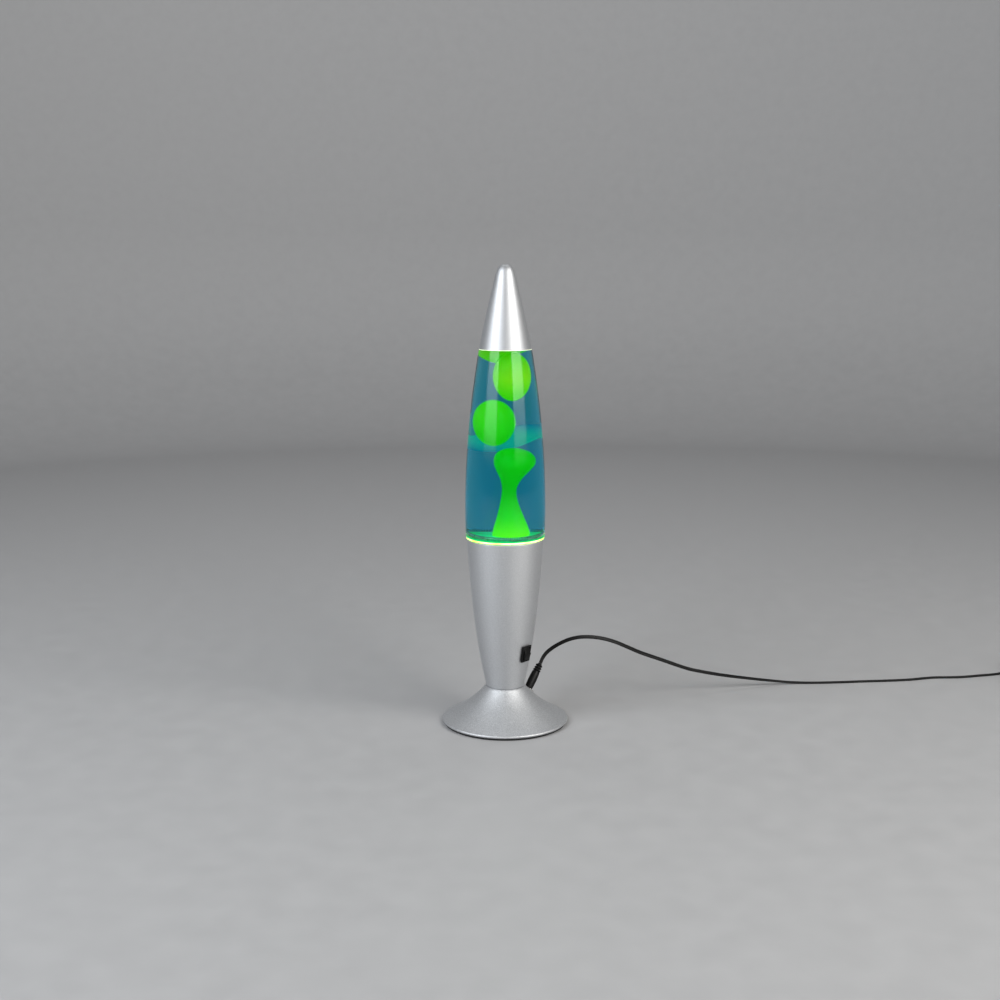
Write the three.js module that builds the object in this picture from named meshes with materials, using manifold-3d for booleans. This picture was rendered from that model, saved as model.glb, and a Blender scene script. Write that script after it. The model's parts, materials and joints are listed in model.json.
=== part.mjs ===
// A low-voltage rocket lava lamp: flared foot, satin stem, tapering bottle of liquid and wax, and a
// cone cap, with a rocker switch in the stem, a plug-in lead and its supply.
// Millimetres, +Z up. The origin is the centre of the foot on the table, and -Y is the lamp's front.

import * as THREE from "three";
import { mergeVertices } from "three/addons/utils/BufferGeometryUtils.js";
import Module from "manifold-3d";

const wasm = await Module();
wasm.setup();

// ---- Driving dimensions ----

const GAP = 0.3; // between pieces that touch
const SIDES = 28; // facets round a large turned piece
const FOOT_SIDES = 32; // facets round the foot
const SMALL_SIDES = 14; // facets round a small one
const CURVE_STEPS = 4; // straight stretches along each stretch of a turned outline

const PAD = { radius: 56.4, thickness: 1.6 };
const FOOT = { radius: 58, topRadius: 18, height: 32.7, wall: 1.6, disc: 2, rim: 1.3, mouth: 54.4 };
const PLATE = { thickness: 1.8, screwCircle: 38, screwCount: 3, firstScrew: 108 };
const BOSS = { radius: 3.2, bury: 0.5 };
const SCREW = { shaft: 1.2, head: 2.5, headHeight: 1.1, length: 7 };
const STEM = { bottomRadius: 17.4, topRadius: 35.2, height: 138.1, wall: 1.2, disc: 2 };
const STEM_FLARE = { bottom: 0.235, top: 0.075, reach: 46 }; // slopes at the ends of the outline
const LEDGE = { depth: 9, inner: 26, thickness: 1.5 };
const SEAT = { inner: 27, thickness: 2 };
const GLASS = { wall: 2.4, height: 165.6, bellyRadius: 36, shoulderRadius: 23.7, base: 9.2, heel: 4.7 };
const GLASS_TAPER = { bottom: 0.029, top: 0.17, reach: 55 };
const NECK = { radius: 12.8, bore: 9.2, length: 8, shoulder: 16, finish: 3.2 };
const CROWN = { sheet: 0.3, skirt: 5.8, flare: 1.4 };
const LINER = { thickness: 0.6 };
const LIQUID = { headspace: 7 };
const CAP = { wall: 1.2, height: 74.3, noseHeight: 17.2, noseRadius: 10.9, bow: 0.35 };

const TUBE = { radius: 5, bore: 3.8, below: 2 };
const NUT = { flats: 14, height: 4 };
const WASHER = { radius: 8.6, thickness: 1 };
const GROMMET = { circle: 13.1, azimuth: 48, hole: 2.5, wall: 0.5, flange: 0.9 };
const BRACKET = { width: 30, height: 14, depth: 12, sheet: 1.2 };
const HOLDER = { width: 22, depth: 9, height: 10, screwSpacing: 15, pinSpacing: 4 };
const HOLDER_SCREW = { shaft: 1.2, head: 2.2, headHeight: 1.4 };
const BULB = { radius: 4.7, length: 31, belowBottle: 15.5, pin: 0.5, pinLength: 7 };
const DISH = { hole: 6.2, floor: 10.8, mouth: 25.5, height: 21, sheet: 0.8 };
const WIRE = { radius: 0.6, sides: 6, steps: 22 };

const SWITCH = { azimuth: -41.8, height: 69, bezel: [11.2, 15.4, 1.6], body: [9, 13.2, 10.5] };
const ROCKER = { opening: [7.7, 12.3], size: [7.1, 11.5], ridge: 2.3, pocket: 6.5, tilt: 10, pivot: -1.2 };
const TERMINAL = { size: [4.8, 0.8, 5], spacing: 6.4 };

const JACK = { azimuth: 48, along: 0.4, thread: 3.8, body: 4.6, flange: 5.2, length: 12, proud: 2.4 };
const JACK_NUT = { flats: 10.4, height: 1.6, lift: 0.5 };
const BARREL = { radius: 1.75, bore: 0.95, length: 9.1 };
const PIN = { radius: 0.62, recess: 1.6 };
const PLUG = { radius: 4, length: 26.6, ribs: 3, ribPitch: 2.5, neck: 1.7 };

const LEAD = { radius: 0.9, width: 3.6, sides: 8, steps: 78, tailSteps: 10 };
const COIL = { centre: [552, 150], turnRadius: 20, columns: 2, layers: 4 };
const TIE = { width: 6, sheet: 0.8 };
const ADAPTER = { centre: [562, 77], width: 44, length: 58, half: 14, corner: 6, reliefLength: 12 };
const ADAPTER_PIN = { radius: 2, length: 19, spacing: 19 };

// Where the lead runs from the plug, through the air, down to the table and along it to its coil.
const LEAD_ROUTE = [
  [33.6, 37.3, 44], [35.6, 39.6, 47.8], [39.6, 42, 52.8], [45.4, 43.6, 57.2], [52.4, 44.6, 61.2],
  [60, 45.6, 64.4], [69, 47, 66.4], [80.8, 49, 66.4], [93.5, 51.5, 64.2], [106, 54.8, 59.8],
  [118.4, 58.6, 53.6], [131.5, 63, 46.8], [144.6, 67.6, 41], [157.4, 72.1, 35.4], [170.3, 76.6, 29.6],
  [181.5, 80.5, 25], [194, 84.5, 21.2], [211, 89.5, 16.8], [237, 97.5, 11], [265, 105.5, 5.6],
  [291.5, 111.5, 1.7], [313, 112.5, 1], [336, 114, 1], [363, 117, 1], [388, 119.5, 1],
  [412, 123, 1], [438, 130, 1], [465, 131.5, 1], [490, 137.5, 1], [510, 143.5, 1],
  [523, 153, 1], [532, 165.8, 1],
];
const TAIL_ROUTE = [
  [577.1, 149.5, 12.6], [577.4, 143.5, 12.3], [575.6, 136.5, 11.2], [571, 130, 9.8], [565, 125.4, 8.6],
  [562, 119, 8],
];

// The wax: centre and half sizes of each free blob, and the outline of the standing column. Heights
// are above the bottle's inner floor.
const BALL_UPPER = { centre: [5.6, -2.6, 143.7], radii: [17.3, 17.3, 21] };
const BALL_LOWER = { centre: [-9.4, -2.5, 102.7], radii: [19.3, 19.3, 20.7] };
const TOP_POOL = { centre: [-3, 1, 173.7], radii: [18.6, 18.6, 17] };
const BACK_BLOB = { centre: [3, 20, 86.7], radii: [18, 7, 9] };
const COLUMN = { x: 5.6, y: -2, baseRadius: 17, waistRadius: 6.7, headRadius: 18.4, height: 77 };
const COLUMN_LEVELS = { waist: 0.47, head: 0.84 };
const WAX_INSET = 1;
const DUCT = 1.2; // thin threads of open space that join the wax's cavities in the liquid
const HEAT_RING = { inner: 25.2, outer: 29.2, height: 3.6 };

// ---- Heights that follow from them ----

const footBottom = PAD.thickness + GAP;
const footTop = footBottom + FOOT.height;
const stemBottom = footTop + GAP;
const stemTop = stemBottom + STEM.height;
const ledgeTop = stemTop - LEDGE.depth;
const seatTop = ledgeTop + GAP + SEAT.thickness;
const glassFloor = seatTop + GAP;
const liquidFloor = glassFloor + GLASS.base;
const bellyStart = stemTop + GAP + GLASS.heel;
const shoulderTop = bellyStart + GLASS.height;
const neckStart = shoulderTop + NECK.shoulder;
const neckTop = neckStart + NECK.length + NECK.finish;
const crownTop = neckTop + LINER.thickness + CROWN.sheet + 2 * GAP;
const capBottom = shoulderTop + GAP;
const capTop = capBottom + CAP.height;
const bulbTop = glassFloor - BULB.belowBottle;
const bulbBase = bulbTop - BULB.length;
const holderTop = bulbBase - GAP;
const holderBottom = holderTop - HOLDER.height;
const bracketTop = holderBottom - GAP;
const bracketBottom = bracketTop - BRACKET.height;
const nutReach = NUT.height + GAP;

// ---- Shape helpers ----

const radians = THREE.MathUtils.degToRad;
const point = (x, y) => new THREE.Vector2(x, y);

// A turned solid from [radius, height] points that start and end on the axis or close on themselves.
function revolve(profile, sides = SIDES) {
  const closed = profile[0][0] > 0;
  const points = (closed ? [...profile, profile[0]] : profile).map(([r, z]) => point(r, z));
  const geometry = new THREE.LatheGeometry(points, sides);
  geometry.rotateX(Math.PI / 2);
  return outward(geometry);
}

// Merges a geometry's shared vertices and turns its faces outwards.
function outward(source) {
  const bare = source.clone();
  bare.deleteAttribute("normal");
  bare.deleteAttribute("uv");
  const merged = mergeVertices(bare, 1e-4);
  const position = merged.attributes.position;
  const corners = [new THREE.Vector3(), new THREE.Vector3(), new THREE.Vector3()];
  const kept = [];
  let volume = 0;
  for (let i = 0; i < merged.index.count; i += 3) {
    const ids = [merged.index.getX(i), merged.index.getX(i + 1), merged.index.getX(i + 2)];
    if (ids[0] === ids[1] || ids[1] === ids[2] || ids[2] === ids[0]) continue;
    ids.forEach((id, k) => corners[k].fromBufferAttribute(position, id));
    volume += corners[0].dot(corners[1].clone().cross(corners[2]));
    kept.push(...ids);
  }
  if (volume < 0) kept.reverse();
  merged.setIndex(kept);
  return merged;
}

function toManifold(geometry) {
  const { position } = geometry.attributes;
  const mesh = new wasm.Mesh({
    numProp: 3,
    vertProperties: new Float32Array(position.array),
    triVerts: new Uint32Array(geometry.index.array),
  });
  return new wasm.Manifold(mesh);
}

function toGeometry(manifold) {
  const mesh = manifold.getMesh();
  const geometry = new THREE.BufferGeometry();
  geometry.setAttribute("position", new THREE.BufferAttribute(new Float32Array(mesh.vertProperties), 3));
  geometry.setIndex(new THREE.BufferAttribute(new Uint32Array(mesh.triVerts), 1));
  return geometry;
}

const combine = (method) => (first, ...others) =>
  toGeometry(others.reduce((solid, other) => solid[method](toManifold(other)), toManifold(first)));
const join = combine("add");
const cut = combine("subtract");
const common = combine("intersect");

// A cylinder along Z from one height to another.
function rod(radius, low, high, x = 0, y = 0, sides = SMALL_SIDES) {
  const geometry = new THREE.CylinderGeometry(radius, radius, high - low, sides);
  geometry.rotateX(Math.PI / 2);
  geometry.translate(x, y, (low + high) / 2);
  return outward(geometry);
}

function ring(inner, outer, low, high, sides = SMALL_SIDES) {
  return revolve([[inner, low], [outer, low], [outer, high], [inner, high]], sides);
}

function block(size, centre = [0, 0, 0]) {
  const geometry = new THREE.BoxGeometry(...size);
  geometry.translate(...centre);
  return outward(geometry);
}

function hexNut(flats, bore, low, high) {
  return cut(rod(flats / Math.sqrt(3), low, high, 0, 0, 6), rod(bore, low - 1, high + 1));
}

function ellipsoid({ centre, radii }, grow = 0) {
  const geometry = new THREE.SphereGeometry(1, SMALL_SIDES, SMALL_SIDES / 2);
  geometry.scale(...radii.map((radius) => radius + grow));
  geometry.translate(...centre);
  return outward(geometry);
}

// A round tube along a smooth curve through the given points.
function tubeAlong(route, radius, sides, steps) {
  const curve = new THREE.CatmullRomCurve3(route.map((p) => new THREE.Vector3(...p)), false, "centripetal");
  const section = new THREE.Shape();
  for (let i = 0; i < sides; i += 1) {
    const angle = (2 * Math.PI * i) / sides;
    const [x, y] = [radius * Math.cos(angle), radius * Math.sin(angle)];
    if (i === 0) section.moveTo(x, y);
    else section.lineTo(x, y);
  }
  section.closePath();
  return outward(new THREE.ExtrudeGeometry(section, { steps, extrudePath: curve, bevelEnabled: false }));
}

// A rod of the given radius between two points.
function rodBetween(from, to, radius) {
  const start = new THREE.Vector3(...from);
  const end = new THREE.Vector3(...to);
  const geometry = new THREE.CylinderGeometry(radius, radius, start.distanceTo(end), 6);
  geometry.applyQuaternion(
    new THREE.Quaternion().setFromUnitVectors(
      new THREE.Vector3(0, 1, 0),
      end.clone().sub(start).normalize(),
    ),
  );
  geometry.translate(...start.clone().add(end).multiplyScalar(0.5).toArray());
  return outward(geometry);
}

const pairs = (curve, steps) => curve.getPoints(steps).map((p) => [p.x, p.y]);

// The points of a turned outline moved inwards, square to the outline, by a wall thickness.
function inset(curve, wall, steps) {
  return Array.from({ length: steps + 1 }, (_, i) => {
    const at = curve.getPoint(i / steps);
    const along = curve.getTangent(i / steps);
    const side = along.y === 0 ? 0 : Math.sign(along.y);
    return [at.x - side * along.y * wall, at.y + side * along.x * wall];
  });
}

// ---- Materials ----

const finish = (color, roughness, metalness = 0) => ({ color, roughness, metalness });
const SATIN_SILVER = finish(0xb9bcc2, 0.38, 0.85);
const STEEL = finish(0x9da1a6, 0.35, 1);
const BLACK_PLASTIC = finish(0x111113, 0.35);
const BLACK_FOAM = finish(0x0c0c0d, 0.9);
const RUBBER = finish(0x1a1a1a, 0.8);
const CERAMIC = finish(0xe8e4da, 0.5);
const CLEAR_GLASS = finish(0xdfeef2, 0.05);
const TEAL_LIQUID = finish(0x006a88, 0.05);
const GREEN_WAX = finish(0x22e000, 0.45);
const COPPER = finish(0xb87333, 0.35, 1);
const BRIGHT_NICKEL = finish(0xd8d8d4, 0.15, 1);
const RED_WIRE = finish(0xa01818, 0.5);
const BLACK_WIRE = finish(0x151515, 0.5);

const lamp = new THREE.Group();

function piece(name, geometry, look, parent = lamp) {
  const mesh = new THREE.Mesh(geometry, new THREE.MeshStandardMaterial(look));
  mesh.name = name;
  parent.add(mesh);
  return mesh;
}

// ---- Outlines of the turned shells, as [radius, height] curves ----

const footCurve = new THREE.QuadraticBezierCurve(
  point(FOOT.topRadius, footTop),
  point(FOOT.topRadius + 0.35 * (FOOT.radius - FOOT.topRadius), footBottom + 0.46 * FOOT.height),
  point(FOOT.radius - 0.6 * FOOT.rim, footBottom + 1.92 * FOOT.rim),
);
const stemCurve = new THREE.CubicBezierCurve(
  point(STEM.bottomRadius, stemBottom),
  point(STEM.bottomRadius + STEM_FLARE.bottom * STEM_FLARE.reach, stemBottom + STEM_FLARE.reach),
  point(STEM.topRadius - STEM_FLARE.top * STEM_FLARE.reach, stemTop - STEM_FLARE.reach),
  point(STEM.topRadius, stemTop),
);
const glassCurve = new THREE.CubicBezierCurve(
  point(GLASS.bellyRadius, bellyStart),
  point(GLASS.bellyRadius + GLASS_TAPER.bottom * GLASS_TAPER.reach, bellyStart + GLASS_TAPER.reach),
  point(GLASS.shoulderRadius + GLASS_TAPER.top * GLASS_TAPER.reach, shoulderTop - GLASS_TAPER.reach),
  point(GLASS.shoulderRadius, shoulderTop),
);
const shoulderCurve = new THREE.CubicBezierCurve(
  point(GLASS.shoulderRadius - CAP.wall - 3 * GAP, shoulderTop),
  point(GLASS.shoulderRadius - CAP.wall - 5 * GAP, shoulderTop + 0.5 * NECK.shoulder),
  point(NECK.radius + 1.5, neckStart - 0.45 * NECK.shoulder),
  point(NECK.radius, neckStart),
);
const noseStart = capTop - CAP.noseHeight;
const capRadius = GLASS.shoulderRadius - GAP / 3;
const capSlope = (capRadius - CAP.noseRadius) / (noseStart - capBottom);
const capCurve = new THREE.CubicBezierCurve(
  point(capRadius, capBottom),
  point(
    THREE.MathUtils.lerp(capRadius, CAP.noseRadius, 1 / 3) + CAP.bow,
    THREE.MathUtils.lerp(capBottom, noseStart, 1 / 3),
  ),
  point(
    THREE.MathUtils.lerp(capRadius, CAP.noseRadius, 2 / 3) + CAP.bow,
    THREE.MathUtils.lerp(capBottom, noseStart, 2 / 3),
  ),
  point(CAP.noseRadius, noseStart),
);
const noseCurve = new THREE.CubicBezierCurve(
  point(CAP.noseRadius, noseStart),
  point(CAP.noseRadius - capSlope * 0.53 * CAP.noseHeight, noseStart + 0.53 * CAP.noseHeight),
  point(0.68 * CAP.noseRadius, capTop),
  point(0, capTop),
);

// Where along a curve its radius (x) or height (y) grows past a value, by halving.
function parameterWhere(curve, axis, value) {
  const grows = curve.getPoint(1)[axis] > curve.getPoint(0)[axis];
  let [low, high] = [0, 1];
  for (let i = 0; i < 40; i += 1) {
    const middle = (low + high) / 2;
    if (curve.getPoint(middle)[axis] < value === grows) low = middle;
    else high = middle;
  }
  return (low + high) / 2;
}
const radiusAt = (curve, height) => curve.getPoint(parameterWhere(curve, "y", height)).x;
const heightAt = (curve, radius) => curve.getPoint(parameterWhere(curve, "x", radius)).y;

// ---- The foot ----

// A frame that stands on a turned surface: its Z axis points out, and its Y axis lies up the surface.
function surfaceFrame(curve, t, azimuth) {
  const at = curve.getPoint(t);
  const along = curve.getTangent(t);
  const up = along.y > 0 ? along : along.clone().negate();
  const radial = new THREE.Vector3(Math.cos(radians(azimuth)), Math.sin(radians(azimuth)), 0);
  const vertical = new THREE.Vector3(0, 0, 1);
  const y = radial.clone().multiplyScalar(up.x).addScaledVector(vertical, up.y);
  const z = radial.clone().multiplyScalar(up.y).addScaledVector(vertical, -up.x);
  const x = y.clone().cross(z);
  const origin = radial.clone().multiplyScalar(at.x).addScaledVector(vertical, at.y);
  return new THREE.Matrix4().makeBasis(x, y, z).setPosition(origin);
}

const jackFrame = surfaceFrame(footCurve, JACK.along, JACK.azimuth);
const switchFrame = surfaceFrame(
  stemCurve,
  parameterWhere(stemCurve, "y", SWITCH.height),
  SWITCH.azimuth,
);
const placed = (geometry, frame) => outward(geometry.clone().applyMatrix4(frame));
const inFrame = (frame, x, y, z) => new THREE.Vector3(x, y, z).applyMatrix4(frame).toArray();

const grommetX = GROMMET.circle * Math.cos(radians(GROMMET.azimuth));
const grommetY = GROMMET.circle * Math.sin(radians(GROMMET.azimuth));
const screwAzimuths = Array.from(
  { length: PLATE.screwCount },
  (_, i) => PLATE.firstScrew + (360 * i) / PLATE.screwCount,
);
const screwPlaces = screwAzimuths.map((azimuth) => [
  PLATE.screwCircle * Math.cos(radians(azimuth)),
  PLATE.screwCircle * Math.sin(radians(azimuth)),
]);
const plateTop = footBottom + PLATE.thickness;

function footShell() {
  const outer = pairs(footCurve, CURVE_STEPS);
  const rimCentre = [FOOT.radius - FOOT.rim, footBottom + FOOT.rim];
  const rim = [60, 25, -15, -55, -90].map((angle) => [
    rimCentre[0] + FOOT.rim * Math.cos(radians(angle)),
    rimCentre[1] + FOOT.rim * Math.sin(radians(angle)),
  ]);
  const underside = footTop - FOOT.disc;
  const inner = inset(footCurve, FOOT.wall, CURVE_STEPS)
    .filter(([, z]) => z < underside - GAP && z > plateTop + 2 * GAP)
    .reverse();
  const last = inner[inner.length - 1];
  const shell = revolve([
    [TUBE.radius + GAP, footTop],
    ...outer,
    ...rim,
    [FOOT.mouth, footBottom],
    [FOOT.mouth, plateTop + GAP],
    ...inner,
    [Math.min(last[0], FOOT.topRadius - FOOT.wall / 2), underside],
    [TUBE.radius + GAP, underside],
  ], FOOT_SIDES);
  const buried = heightAt(footCurve, PLATE.screwCircle + BOSS.radius) - BOSS.bury;
  const bosses = screwPlaces.map(([x, y]) => rod(BOSS.radius, plateTop + GAP, buried, x, y, 12));
  const pilots = screwPlaces.map(([x, y]) =>
    rod(SCREW.shaft + GAP, plateTop, footBottom + SCREW.length + GAP, x, y, 10));
  const jackHole = placed(rod(JACK.thread + GAP, -10, 10), jackFrame);
  const wireHole = rod(GROMMET.hole, underside - 1, footTop + 1, grommetX, grommetY, 12);
  return cut(join(shell, ...bosses), ...pilots, jackHole, wireHole);
}

piece("base_pad", rod(PAD.radius, 0, PAD.thickness, 0, 0, FOOT_SIDES), BLACK_FOAM);
piece("foot_shell", footShell(), SATIN_SILVER);
piece(
  "base_plate",
  cut(
    rod(FOOT.mouth - GAP, footBottom, plateTop, 0, 0, FOOT_SIDES),
    ...screwPlaces.map(([x, y]) => rod(SCREW.shaft + GAP, 0, plateTop + 1, x, y, 10)),
    ...screwPlaces.map(([x, y]) =>
      rod(SCREW.head + GAP, 0, footBottom + SCREW.headHeight + GAP, x, y, 12)),
  ),
  BLACK_PLASTIC,
);
screwPlaces.forEach(([x, y], i) => {
  const head = rod(SCREW.head, footBottom, footBottom + SCREW.headHeight, x, y, 12);
  const shaft = rod(SCREW.shaft, footBottom + 0.5, footBottom + SCREW.length, x, y, 10);
  piece(`base_screw_${i + 1}`, join(head, shaft), STEEL);
});

// ---- The stem ----

const stemInner = (height) => radiusAt(stemCurve, height) - STEM.wall;

function stemShell() {
  const outer = pairs(stemCurve, CURVE_STEPS + 1);
  const floor = stemBottom + STEM.disc;
  const ledgeBottom = ledgeTop - LEDGE.thickness;
  const inner = inset(stemCurve, STEM.wall, CURVE_STEPS + 1)
    .filter(([, z]) => z > floor + 1 && z < ledgeBottom - 1)
    .reverse();
  const shell = revolve([
    [TUBE.radius + GAP, stemBottom],
    ...outer,
    [stemInner(stemTop), stemTop],
    [stemInner(ledgeTop), ledgeTop],
    [LEDGE.inner, ledgeTop],
    [LEDGE.inner, ledgeBottom],
    [stemInner(ledgeBottom), ledgeBottom],
    ...inner,
    [stemInner(floor), floor],
    [TUBE.radius + GAP, floor],
  ]);
  const [width, height] = SWITCH.body;
  const window = placed(block([width + 2 * GAP, height + 2 * GAP, 12]), switchFrame);
  const wireHole = rod(GROMMET.hole, stemBottom - 1, floor + 1, grommetX, grommetY, 12);
  return cut(shell, window, wireHole);
}

const seatOuter = stemInner(ledgeTop) - GAP;
piece("stem_shell", stemShell(), SATIN_SILVER);
piece("seat_ring", ring(SEAT.inner, seatOuter, ledgeTop + GAP, seatTop, SIDES), RUBBER);

// ---- The tie tube, its nuts and the lamp holder ----

const footUnderside = footTop - FOOT.disc;
const stemFloor = stemBottom + STEM.disc;
const footWasherLow = footUnderside - GAP - WASHER.thickness;
const footNutLow = footWasherLow - nutReach;
const stemWasherLow = stemFloor + GAP;
const stemNutLow = stemWasherLow + WASHER.thickness + GAP;
const lowerNutLow = bracketBottom - nutReach;
const upperNutLow = bracketBottom + BRACKET.sheet + GAP;
const tubeTop = upperNutLow + NUT.height + 1;
const threadClearance = TUBE.radius + GAP;

piece("threaded_tube", ring(TUBE.bore, TUBE.radius, footNutLow - TUBE.below, tubeTop), STEEL);
piece("foot_washer", ring(threadClearance, WASHER.radius, footWasherLow, footUnderside - GAP), STEEL);
piece("foot_nut", hexNut(NUT.flats, threadClearance, footNutLow, footWasherLow - GAP), STEEL);
piece("stem_washer", ring(threadClearance, WASHER.radius, stemWasherLow, stemNutLow - GAP), STEEL);
piece("stem_nut", hexNut(NUT.flats, threadClearance, stemNutLow, stemNutLow + NUT.height), STEEL);
piece("holder_nut_lower", hexNut(NUT.flats, threadClearance, lowerNutLow, bracketBottom - GAP), STEEL);
piece("holder_nut_upper", hexNut(NUT.flats, threadClearance, upperNutLow, upperNutLow + NUT.height), STEEL);

function wireGrommet() {
  const inner = GROMMET.hole - GAP - GROMMET.wall;
  const outer = GROMMET.hole - GAP;
  const low = footUnderside - GAP - GROMMET.flange;
  const sleeve = revolve([
    [inner, low],
    [outer + 0.7, low],
    [outer + 0.7, low + GROMMET.flange],
    [outer, low + GROMMET.flange],
    [outer, stemFloor + 0.5],
    [inner, stemFloor + 0.5],
  ], 12);
  return placed(sleeve, new THREE.Matrix4().makeTranslation(grommetX, grommetY, 0));
}
piece("wire_grommet", wireGrommet(), RUBBER);

const holderScrewXs = [-HOLDER.screwSpacing / 2, HOLDER.screwSpacing / 2];
const holderPinXs = [-HOLDER.pinSpacing / 2, HOLDER.pinSpacing / 2];
const dishTop = holderTop + GAP + DISH.sheet;
const screwHeadLow = dishTop + GAP;

function holderBracket() {
  const middle = (bracketTop + bracketBottom) / 2;
  const frame = block([BRACKET.width, BRACKET.depth, BRACKET.height], [0, 0, middle]);
  const hollow = [BRACKET.width - 2 * BRACKET.sheet, BRACKET.depth + 2, BRACKET.height - 2 * BRACKET.sheet];
  return cut(
    frame,
    block(hollow, [0, 0, middle]),
    rod(threadClearance, bracketBottom - 1, bracketBottom + BRACKET.sheet + 1),
    ...holderScrewXs.map((x) =>
      rod(HOLDER_SCREW.shaft + GAP, bracketTop - BRACKET.sheet - 1, bracketTop + 1, x, 0, 10)),
  );
}
piece("holder_bracket", holderBracket(), STEEL);

piece(
  "lamp_holder",
  cut(
    block([HOLDER.width, HOLDER.depth, HOLDER.height], [0, 0, (holderTop + holderBottom) / 2]),
    ...holderScrewXs.map((x) =>
      rod(HOLDER_SCREW.shaft + GAP, holderBottom - 1, holderTop + 1, x, 0, 10)),
    ...holderPinXs.map((x) =>
      rod(BULB.pin + GAP, bulbBase - BULB.pinLength - 2 * GAP, holderTop + 1, x, 0, 8)),
  ),
  CERAMIC,
);
holderScrewXs.forEach((x, i) => {
  const head = rod(HOLDER_SCREW.head, screwHeadLow, screwHeadLow + HOLDER_SCREW.headHeight, x, 0, 12);
  const shaft = rod(HOLDER_SCREW.shaft, bracketTop - BRACKET.sheet - 1, screwHeadLow + 0.5, x, 0, 10);
  piece(`holder_screw_${i + 1}`, join(head, shaft), STEEL);
});

function reflectorDish() {
  const low = holderTop + GAP;
  const dish = revolve([
    [DISH.hole, low],
    [DISH.floor, low],
    [DISH.mouth, low + DISH.height],
    [DISH.mouth - 1.2 * DISH.sheet, low + DISH.height],
    [DISH.floor - 0.5 * DISH.sheet, dishTop],
    [DISH.hole, dishTop],
  ], 28);
  return cut(dish, ...holderScrewXs.map((x) =>
    rod(HOLDER_SCREW.shaft + GAP, low - 1, dishTop + 1, x, 0, 10)));
}
piece("reflector_dish", reflectorDish(), BRIGHT_NICKEL);

// ---- The bulb ----

function bulbCapsule() {
  const dome = BULB.radius;
  const rounded = [90, 65, 40, 15].map((angle) => [
    angle === 90 ? 0 : dome * Math.cos(radians(angle)),
    bulbTop - dome + dome * Math.sin(radians(angle)),
  ]);
  return revolve([
    ...rounded,
    [dome, bulbBase + 9],
    [0.7 * dome, bulbBase + 7],
    [0.7 * dome, bulbBase],
    [0, bulbBase],
  ], 16);
}
piece("bulb_capsule", bulbCapsule(), CLEAR_GLASS);
holderPinXs.forEach((x, i) => {
  const pin = rod(BULB.pin, bulbBase - BULB.pinLength, bulbBase - GAP, x, 0, 8);
  piece(`bulb_pin_${i + 1}`, pin, STEEL);
});

// ---- The rocker switch: built in the frame of the stem's surface ----

const switchGroup = new THREE.Group();
switchFrame.decompose(switchGroup.position, switchGroup.quaternion, switchGroup.scale);
lamp.add(switchGroup);
const bezelLow = GAP;
const bezelTop = bezelLow + SWITCH.bezel[2];

function switchBody() {
  const [bezelWidth, bezelHeight, bezelDepth] = SWITCH.bezel;
  const [width, height, depth] = SWITCH.body;
  const pocket = ROCKER.pocket + bezelTop;
  return cut(
    join(
      block([bezelWidth, bezelHeight, bezelDepth], [0, 0, bezelLow + bezelDepth / 2]),
      block([width, height, depth + bezelTop], [0, 0, (bezelTop - depth) / 2]),
    ),
    block([...ROCKER.opening, pocket + 1], [0, 0, bezelTop + 1 - (pocket + 1) / 2]),
  );
}
piece("switch_body", switchBody(), BLACK_PLASTIC, switchGroup);

// The rocker's outline is a shallow roof, extruded along its pivot and tipped to its ON side.
function switchRocker() {
  const [width, length] = ROCKER.size;
  const outline = new THREE.Shape();
  outline.moveTo(-length / 2, 0.2);
  outline.lineTo(0, ROCKER.ridge);
  outline.lineTo(length / 2, 0.2);
  outline.lineTo(length / 2, -1.6);
  outline.lineTo(2.2, -4.6);
  outline.lineTo(-2.2, -4.6);
  outline.lineTo(-length / 2, -1.6);
  outline.closePath();
  const geometry = new THREE.ExtrudeGeometry(outline, { depth: width, bevelEnabled: false });
  geometry.translate(0, -ROCKER.pivot, -width / 2);
  geometry.applyMatrix4(new THREE.Matrix4().makeBasis(
    new THREE.Vector3(0, 1, 0),
    new THREE.Vector3(0, 0, 1),
    new THREE.Vector3(1, 0, 0),
  ));
  geometry.rotateX(radians(-ROCKER.tilt));
  geometry.translate(0, 0, bezelTop + ROCKER.pivot);
  return outward(geometry);
}
piece("switch_rocker", switchRocker(), BLACK_PLASTIC, switchGroup);

const terminalDepths = -SWITCH.body[2] - GAP - TERMINAL.size[2];
[1, -1].forEach((side, i) => {
  const centre = [0, (side * TERMINAL.spacing) / 2, terminalDepths + TERMINAL.size[2] / 2];
  piece(`switch_terminal_${i + 1}`, block(TERMINAL.size, centre), COPPER, switchGroup);
});

// ---- The jack and the plug: built in the frame of the foot's surface ----

const jackGroup = new THREE.Group();
jackFrame.decompose(jackGroup.position, jackGroup.quaternion, jackGroup.scale);
lamp.add(jackGroup);
const jackBore = BARREL.radius + GAP;
const plugFace = JACK.proud + GAP;
const jackBoreFloor = plugFace - GAP - BARREL.length - 1;
const jackFlangeTop = -FOOT.wall - 2 * GAP;

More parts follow.
